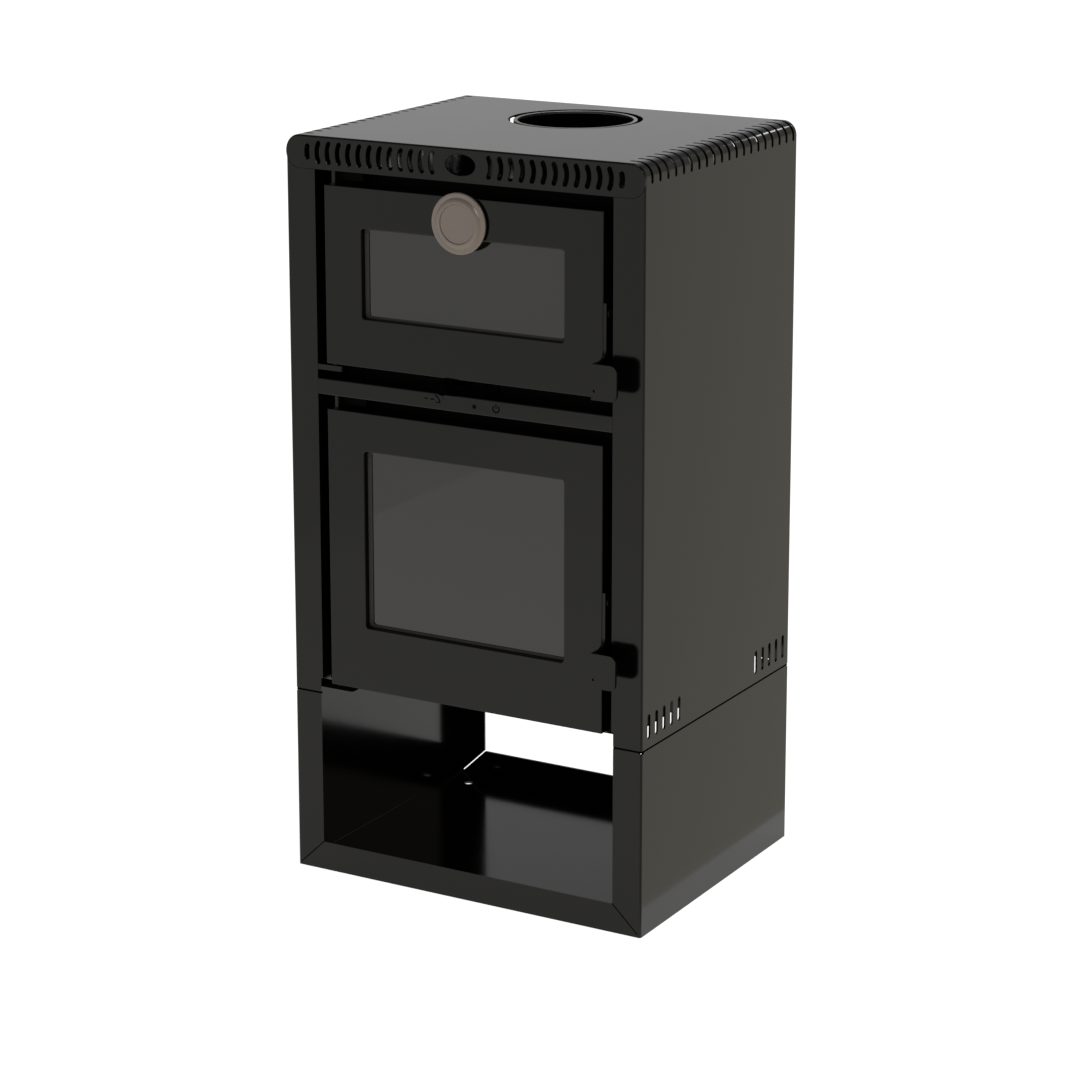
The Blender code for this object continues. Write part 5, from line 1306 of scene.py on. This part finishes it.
@dataclass
class Door(Assembly):
    """A glazed door: folded tray, pane, gasket, rope seal and the stud that its handle turns on."""

    sizes: DoorSizes
    half: float = 0.199
    front: float = FRONT
    depth: float = 0.022
    sheet: float = 0.0025
    edge: float = 0.0014
    window_half: float = 0.145
    window_radius: float = 0.004
    reveal: float = 0.009
    hinge: Point = (-0.189, PIVOT_Y)
    boss_radius: float = 0.0052
    boss_height: float = 0.0015
    stud_hole: float = 0.0033
    pane_lap: float = 0.010
    pane_thickness: float = 0.004
    tape_shows: Point = (0.0050, 0.0027)
    tape: float = 0.0015
    tape_slope: float = 0.0012
    gap: float = 0.0003

    def window(self, grow: float) -> Loop:
        """Return the window's loop, let out by grow."""
        radius = self.window_radius
        return box_loop(
            (-self.window_half, self.sizes.window_bottom),
            (self.window_half, self.sizes.window_top),
            (radius, radius, radius, radius),
            grow,
            6,
        )

    def sight(self, grow: float) -> Loop:
        """Return the tape's opening, let out by grow."""
        side, rise = self.tape_shows
        radius = self.window_radius
        return box_loop(
            (-self.window_half + side, self.sizes.window_bottom + rise),
            (self.window_half - side, self.sizes.window_top - rise),
            (radius, radius, radius, radius),
            grow,
            6,
        )

    def outer(self, grow: float) -> Loop:
        """Return the door's outline, let out by grow."""
        radius = 0.0012
        return box_loop(
            (-self.half, self.sizes.bottom),
            (self.half, self.sizes.top),
            (radius, radius, radius, radius),
            grow,
            3,
        )

    def build(self) -> None:
        """Build every piece of the door."""
        self.tray()
        self.glazing()
        self.rope()
        self.pivot()

    def tray(self) -> None:
        """Build the folded front with its window, bosses and holes."""
        front, edge, sheet = self.front, self.edge, self.sheet
        back = front + self.depth
        outer: list[Ring] = []
        window: list[Ring] = []
        for i in range(5):
            angle = math.radians(90 * i / 4)
            inset = edge * (1 - math.sin(angle))
            depth = front + edge * (1 - math.cos(angle))
            outer.append((depth, self.outer(-inset)))
            window.append((depth, self.window(inset)))
        outer.append((back, self.outer(0.0)))
        outer.append((back, self.outer(-sheet)))
        outer.append((front + sheet, self.outer(-sheet)))
        window.append((front + self.reveal, self.window(0.0)))
        window.append((front + self.reveal, self.window(sheet)))
        window.append((front + sheet, self.window(sheet)))
        bm = stacked([outer, window], Plane.FRONT)
        x, y = self.hinge
        bosses = [
            rod((x, y, self.sizes.top - sheet / 2), sheet / 2 + self.boss_height, self.boss_radius, Axis.Z),
            rod(
                (x, y, self.sizes.bottom - self.boss_height),
                sheet / 2 + self.boss_height,
                self.boss_radius,
                Axis.Z,
            ),
        ]
        bm = carved(bm, joined(bosses), "UNION")
        holes = [
            rod((x, y, self.sizes.top - sheet - LAP), 2 * OVER, PIN_HOLE, Axis.Z),
            rod((x, y, self.sizes.bottom - OVER), OVER + sheet + LAP, PIN_HOLE, Axis.Z),
            rod((self.half - sheet - LAP, PIVOT_Y, self.sizes.pivot_z), 2 * OVER, self.stud_hole, Axis.X),
        ]
        bm = carved(bm, joined(holes))
        name = self.sizes.name
        self.publish(f"{name}_door_front", bm, PAINT, self.sizes.body, "black_paint", [f"{name}_door_tray"])

    def glazing(self) -> None:
        """Build the gasket and the pane."""
        name = self.sizes.name
        start = self.front + self.reveal + self.gap
        end = start + self.tape

        def edge(grow: float) -> Loop:
            """Return the pane's outline, let out by grow."""
            return self.window(self.pane_lap + grow)

        opening: list[Ring] = [(start, self.sight(self.tape_slope)), (end, self.sight(0.0))]
        tape = stacked([plate_chain(edge, start, self.tape, -1), opening], Plane.FRONT)
        self.publish(f"{name}_pane_tape", tape, TAPE, self.sizes.body, "rope", [f"{name}_glass_gasket"])
        start = end + self.gap / 3
        pane = stacked([plate_chain(edge, start, self.pane_thickness, -1)], Plane.FRONT)
        self.publish(f"{name}_pane", pane, PANE, self.sizes.body, "ceramic_glass", [f"{name}_glass"])

    def rope(self) -> None:
        """Build the rope seal behind the door."""
        name = self.sizes.name
        low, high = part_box(f"{name}_door_rope")
        radius = (high.y - low.y) / 2 * 0.995
        middle = (high.y + low.y) / 2
        corner = 0.012
        path = box_loop(
            (low.x + radius, low.z + radius), (high.x - radius, high.z - radius), (corner,) * 4, 0.0, 6
        )
        bm = bmesh.new()
        rings = []
        count = len(path)
        for i, (x, z) in enumerate(path):
            before, after = path[i - 1], path[(i + 1) % count]
            way = Vector((after[0] - before[0], 0, after[1] - before[1])).normalized()
            out = Vector((way.z, 0, -way.x))
            verts = []
            for k in range(12):
                angle = math.tau * k / 12
                spot = Vector((x, middle, z)) + out * radius * math.cos(angle)
                verts.append(bm.verts.new(spot + Vector((0, radius * math.sin(angle), 0))))
            rings.append([bm.edges.new((a, b)) for a, b in zip(verts, verts[1:] + verts[:1])])
        for first, second in zip(rings, rings[1:] + rings[:1]):
            bmesh.ops.bridge_loops(bm, edges=first + second)
        bmesh.ops.recalc_face_normals(bm, faces=bm.faces)
        self.publish(f"{name}_rope_seal", bm, ROPE, self.sizes.body, "rope", [f"{name}_door_rope"], 80)

    def pivot(self) -> None:
        """Build the stud that the handle turns on, with its domed head."""
        name = self.sizes.name
        low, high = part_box(f"{name}_latch_pivot")
        head_radius, dome_rise, shank = 0.0055, 0.0012, 0.003
        under = high.x - 2 * dome_rise
        profile = [(0.0, high.x)]
        for turn in (0.4, 0.8, 1.2, 1.57):
            profile.append((head_radius * math.sin(turn), high.x - dome_rise * (1 - math.cos(turn))))
        profile += [(head_radius, under), (shank, under), (shank, low.x), (0.0, low.x)]
        bm = spun(profile, (0, PIVOT_Y, self.sizes.pivot_z), Axis.X, 40)
        self.publish(f"{name}_handle_stud", bm, PIN, self.sizes.body, "bare_steel", [f"{name}_latch_pivot"])


@dataclass
class Handle(Assembly):
    """A handle: one bent plate with its grip in front and its hook behind."""

    sizes: DoorSizes
    left: float = 0.1993
    front: float = FRONT
    thickness: float = 0.004
    bar_depth: float = 0.014
    above: float = 0.0135
    below: float = 0.043
    reach: float = 0.030
    grip: Point = (0.0345, 0.044)
    web_lift: float = 0.0125
    relief: float = 0.0015
    grip_drop: float = 0.055
    corner: float = 0.009
    fillet: float = 0.012
    bend: float = 0.0038
    soft: float = 0.0017
    keeper_lift: float = 0.001
    keeper_radius: float = 0.0025
    hook_clearance: float = 0.0005
    nose_reach: float = 0.025
    nose_width: float = 0.004
    nose_rise: float = 0.0045
    arm_height: float = 0.006
    end_radius: float = 0.002

    def side_outline(self) -> Loop:
        """Return the plate's outline seen from the side."""
        z = self.sizes.pivot_z
        front = self.front
        back = front + self.bar_depth
        nose_top = z + self.keeper_lift - self.keeper_radius - self.hook_clearance
        nose_front = front + self.nose_reach
        nose_back = nose_front + self.nose_width
        arm_top = nose_top - self.nose_rise
        arm_bottom = arm_top - self.arm_height
        grip_top = z - self.grip_drop
        web_bottom = grip_top - self.grip[1] + self.web_lift
        end = self.end_radius
        loop = arc((back - end, z + self.above - end), end, 90, 0, 5)
        loop += [(back, arm_top), (nose_front, arm_top), (nose_front, nose_top), (nose_back, nose_top)]
        loop += arc((nose_back - end, arm_bottom + end), end, 0, -90, 4)
        loop += [(back, arm_bottom), (back, z - self.below)]
        heel = front - self.thickness - self.fillet / 2
        loop += arc((heel, web_bottom + self.fillet), self.fillet, 0, -90, 8)
        tip = front - self.reach
        loop += [(tip, web_bottom), (tip, grip_top)]
        rise = z - self.below - grip_top
        loop += arc((front - rise, grip_top + rise), rise, 270, 360, 8)
        loop.append((front, z + self.above))
        return loop

    def build(self) -> None:
        """Build the plate and publish it."""
        name = self.sizes.name
        z = self.sizes.pivot_z
        tip = self.front - self.reach
        web = prism(self.side_outline(), Plane.SIDE, self.left, self.thickness)
        grip_top = z - self.grip_drop
        loop = box_loop(
            (self.left, grip_top - self.grip[1]),
            (self.left + self.grip[0], grip_top),
            (0.0003, self.corner, self.corner, 0.0003),
            0.0,
            8,
        )
        bm = carved(web, prism(loop, Plane.FRONT, tip, self.thickness), "UNION")
        right = self.left + self.thickness
        high = grip_top - self.grip[1] + self.web_lift
        bm = carved(
            bm,
            block(
                (right - self.relief, tip - OVER, high - 2 * self.relief),
                (right + self.relief, tip + self.thickness + OVER, high),
            ),
        )
        bm = carved(bm, rod((self.left - OVER, PIVOT_Y, z), self.thickness + 2 * OVER, PIN_HOLE, Axis.X))
        bmesh.ops.dissolve_limit(
            bm, angle_limit=math.radians(0.5), use_dissolve_boundaries=False, verts=bm.verts, edges=bm.edges
        )
        bm = rounded(
            bm,
            lambda e: along(e, 2) and outside(e, 0, self.left) and outside(e, 1, tip) and sharp(e),
            self.bend,
            6,
        )
        bm = rounded(
            bm,
            lambda e: along(e, 2) and outside(e, 0, right) and outside(e, 1, self.front),
            self.soft,
            3,
        )
        bm = rounded(bm, sharp, 0.0004, 2)
        body = self.sizes.latch_body
        self.publish(f"{name}_handle", bm, PAINT, body, "black_paint", [f"{name}_latch_lever"])


@dataclass
class Thermometer(Assembly):
    """The round oven thermometer: a bezel with a raised lip on a dark neck, round a sunk blank dial."""

    z: float = 0.878
    front: float = FRONT
    radius: float = 0.0384
    proud: float = 0.0058
    thickness: float = 0.0034
    soft: float = 0.0022
    neck: float = 0.0335
    dial_radius: float = 0.0248
    lip: float = 0.0256
    lip_foot: float = 0.0322
    lip_turn: float = 46.0
    sunk: float = 0.0010
    clearance: float = 0.0003
    shy: float = 0.0001
    rear_edge: float = 0.0006
    dial_plate: float = 0.0008

    def build(self) -> None:
        """Build the neck, the bezel and the dial."""
        centre = (0, 0, self.z)
        face = self.front - self.proud
        back = face + self.thickness
        foot = self.front - self.clearance
        collar = [(0.0, foot), (self.neck, foot), (self.neck, back), (0.0, back)]
        bm = spun(collar, centre, Axis.Y, 96)
        self.publish("thermometer_neck", bm, KNOB, Body.OVEN_DOOR, "taupe_metal")
        profile: Loop = [(0.0, back - self.shy), (self.radius - self.rear_edge, back - self.shy)]
        profile.append((self.radius, back - self.rear_edge))
        for i in range(7):
            turn = math.radians(90 * i / 6)
            profile.append(
                (self.radius - self.soft * (1 - math.cos(turn)), face + self.soft / 2 * (1 - math.sin(turn)))
            )
        bulge = (self.lip_foot - self.lip) / math.sin(math.radians(self.lip_turn))
        peak = face - bulge * (1 - math.cos(math.radians(self.lip_turn)))
        for i in range(9):
            turn = math.radians(self.lip_turn * (8 - i) / 8)
            profile.append((self.lip + bulge * math.sin(turn), peak + bulge * (1 - math.cos(turn))))
        seat = peak + self.sunk
        profile += [(self.dial_radius, peak + self.clearance), (self.dial_radius, seat + self.dial_plate)]
        profile.append((0.0, seat + self.dial_plate))
        bm = spun(profile, centre, Axis.Y, 96)
        self.publish("thermometer_bezel", bm, TAUPE, Body.OVEN_DOOR, "taupe_metal", ["thermometer_case"])
        rim = self.dial_radius - 2 * self.shy
        under = seat + self.dial_plate - self.shy
        edge = self.clearance
        disc = [(0.0, under), (rim, under), (rim, seat + edge), (rim - edge, seat), (0.0, seat)]
        bm = spun(disc, centre, Axis.Y, 96)
        self.publish("thermometer_face", bm, DIAL, Body.OVEN_DOOR, "dial", ["thermometer_dial"])


@dataclass
class AirKnob(Assembly):
    """The air knob on its rod."""

    x: float = -0.022
    z: float = 0.6699
    front: float = FRONT
    radius: float = 0.0086
    length: float = 0.012
    back_gap: float = 0.0006
    back_edge: float = 0.0008
    soft: float = 0.0022
    bore: float = 0.0033
    end_wall: float = 0.0007

    def build(self) -> None:
        """Build the knob and publish it."""
        back = self.front - self.back_gap
        face = self.front - self.length
        bore, soft, edge = self.bore, self.soft, self.back_edge
        profile: Loop = [(bore, back), (self.radius - edge, back), (self.radius, back - edge)]
        for i in range(7):
            angle = math.radians(90 * i / 6)
            profile.append(
                (self.radius - soft * (1 - math.cos(angle)), face + soft * (1 - math.sin(angle)))
            )
        profile += [(0.0, face), (0.0, face + self.end_wall), (bore, face + self.end_wall)]
        bm = spun_open(profile, (self.x, 0, self.z), Axis.Y)
        self.publish("air_knob_moulded", bm, KNOB, Body.AIR, "knob", ["air_knob"])


@dataclass
class Lining(Assembly):
    """The firebricks, whose edges are broken and whose faces are flaked."""

    names: tuple[str, ...] = (
        "brick_left",
        "brick_right",
        "brick_back",
        "brick_floor_left",
        "brick_floor_right",
        "brick_floor_back",
        "baffle_plate",
    )
    edge: float = 0.0018

    def build(self) -> None:
        """Build each brick in its node's box and publish it."""
        for name in self.names:
            low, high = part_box(name)
            bm = rounded(block(low, high), lambda e: True, self.edge, 2)
            self.publish(f"{name}_pressed", bm, BRICK, Body.STOVE, "vermiculite", [name])


@dataclass
class Studio:
    """The white floor, the lights and the camera."""

    place: tuple[float, float, float] = (2.0353, -3.5501, 1.5718)
    right: tuple[float, float, float] = (0.86229792, 0.50639375, -0.00276998)
    up: tuple[float, float, float] = (-0.11147643, 0.19515449, 0.97441661)
    back: tuple[float, float, float] = (0.49397905, -0.83992863, 0.22473228)
    lens: float = 108.55
    shift: Point = (0.0282, -0.1388)
    strength: float = 1.12
    dim: str = "#bdbdbd"
    low: str = "#f4f4f4"
    backdrop: str = "#ffffff"
    floor_edges: Point = (-1.12, 0.30)
    floor_length: float = 6.4
    floor_thickness: float = 0.02
    floor_gap: float = 0.0002
    flag: str = "#e9e4d7"
    flag_from: float = 0.1
    flag_to: float = 0.35
    dim_from: float = 0.06
    dim_to: float = 0.38
    ceiling: str = "#6a6a6a"
    ceiling_from: float = 0.5
    lamps: list[tuple[str, tuple, tuple, float, float]] = field(
        default_factory=lambda: [
            ("key_soft", (1.3, -1.7, 2.1), (0.0, -0.2, 0.88), 0.5, 9.5),
            ("ceiling_soft", (0.2, 0.3, 3.4), (0.0, 0.0, 0.9), 1.2, 14.0),
            ("rear_strip", (0.3535, 0.63, 1.1925), (0.25, 0.17, 0.965), 0.05, 0.07),
        ]
    )

    def build(self) -> None:
        """Build the floor, the world, the lights and the camera."""
        left, right = self.floor_edges
        end = self.floor_length / 2
        bm = block((left, -end, -self.floor_thickness), (right, end, -self.floor_gap))
        mesh = bpy.data.meshes.new("studio_floor")
        bm.to_mesh(mesh)
        bm.free()
        mesh.materials.append(FLOOR.material())
        floor = bpy.data.objects.new("studio_floor", mesh)
        bpy.context.scene.collection.objects.link(floor)
        bpy.context.scene.world = self.room()
        for name, place, aim, size, power in self.lamps:
            self.lamp(name, place, aim, size, power)
        self.camera()
        bpy.context.scene.view_settings.view_transform = "Standard"

    def room(self) -> bpy.types.World:
        """Return a room that is plain white to the eye, though its ceiling and right side light less."""
        world = bpy.data.worlds.new("studio")
        world.use_nodes = True
        tree = world.node_tree
        place = add_node(tree, "ShaderNodeTexCoord")
        parts = add_node(tree, "ShaderNodeSeparateXYZ", links={0: place.outputs["Generated"]})
        ramp = add_node(tree, "ShaderNodeValToRGB", links={0: parts.outputs["Z"]})
        stops = ramp.color_ramp.elements
        stops[0].position, stops[0].color = 0.0, linear(self.low)
        stops[1].position, stops[1].color = self.ceiling_from, linear(self.ceiling)
        for level in self.dim_from, self.dim_to:
            stops.new(level).color = linear(self.dim)
        back = tree.nodes["Background"]
        reach = add_node(
            tree,
            "ShaderNodeMapRange",
            inputs={"From Min": self.flag_from, "From Max": self.flag_to},
            links={"Value": parts.outputs["X"]},
        )
        flagged = add_node(
            tree,
            "ShaderNodeMix",
            settings={"data_type": "RGBA", "blend_type": "MULTIPLY"},
            inputs={7: linear(self.flag)},
            links={0: reach.outputs["Result"], 6: ramp.outputs["Color"]},
        )
        seen = add_node(tree, "ShaderNodeLightPath")
        plain = add_node(
            tree,
            "ShaderNodeMix",
            settings={"data_type": "RGBA"},
            inputs={7: linear(self.backdrop)},
            links={0: seen.outputs["Is Camera Ray"], 6: flagged.outputs[2]},
        )
        back.inputs["Strength"].default_value = self.strength
        tree.links.new(plain.outputs[2], back.inputs["Color"])
        return world

    def lamp(self, name: str, place: tuple, aim: tuple, size: float, power: float) -> None:
        """Add a square soft light that faces a point."""
        light = bpy.data.lights.new(name, "AREA")
        light.size = size
        light.energy = power
        holder = bpy.data.objects.new(name, light)
        holder.location = place
        holder.rotation_euler = (Vector(aim) - Vector(place)).to_track_quat("-Z", "Y").to_euler()
        bpy.context.scene.collection.objects.link(holder)

    def camera(self) -> None:
        """Add the camera at the photograph's place."""
        data = bpy.data.cameras.new("camera")
        data.sensor_width = 36
        data.lens = self.lens
        data.shift_x, data.shift_y = self.shift
        data.clip_end = 50
        holder = bpy.data.objects.new("camera", data)
        columns = zip(self.right, self.up, self.back)
        turn = Matrix([list(row) for row in columns]).to_4x4()
        holder.matrix_world = Matrix.Translation(self.place) @ turn
        bpy.context.scene.collection.objects.link(holder)
        bpy.context.scene.camera = holder


def dress_frame(frame: dict) -> None:
    """Give every node of the frame the finish of its slot."""
    slots = {entry["node"]: entry["material_slot"] for entry in frame["record"]["subparts"]}
    special = {
        "oven_hinge_pin_top": PIN,
        "oven_hinge_pin_bottom": PIN,
        "fire_hinge_pin_top": PIN,
        "fire_hinge_pin_bottom": PIN,
        "oven_keeper": PIN,
        "fire_keeper": PIN,
        "top_rail": PLATE,
        "door_frame_plate": PLATE,
        "air_slide": PLATE,
        "slide_guide_top": PLATE,
        "slide_guide_bottom": PLATE,
        "oven_door_liner": PLATE,
        "fire_door_liner": PLATE,
        "rear_panel": PAINT,
        "firebox_jacket": ROLLED,
        # The fire door's lower hinge tab and pin get painted shade: black where the door shades them.
        "fire_hinge_tab": SHADE_BLACK_PLATE,
        "fire_hinge_pin_bottom": SHADE_BLACK_PLATE,
    }
    for name, node in frame["nodes"].items():
        finish = special.get(name, SLOT_FINISHES[slots[name]])
        node.data.materials.clear()
        node.data.materials.append(finish.material())


def main() -> None:
    """Load the frame, build every sub-assembly and set the studio."""
    logging.basicConfig(level=logging.INFO, format="%(message)s")
    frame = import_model()
    dress_frame(frame)
    oven = DoorSizes("oven", Body.OVEN_DOOR, Body.OVEN_LATCH, 0.6813, 0.910, 0.744, 0.8585, 0.785)
    fire = DoorSizes("fire", Body.FIRE_DOOR, Body.FIRE_LATCH, 0.257, 0.623, 0.3405, 0.573, 0.4245)
    LogStore().build()
    Casing().build()
    Grille().build()
    Rail().build()
    Flue().build()
    Inlet().build()
    for sizes in (oven, fire):
        Door(sizes).build()
        Handle(sizes).build()
    Thermometer().build()
    AirKnob().build()
    Lining().build()
    Studio().build()


if __name__ == "__main__":
    main()
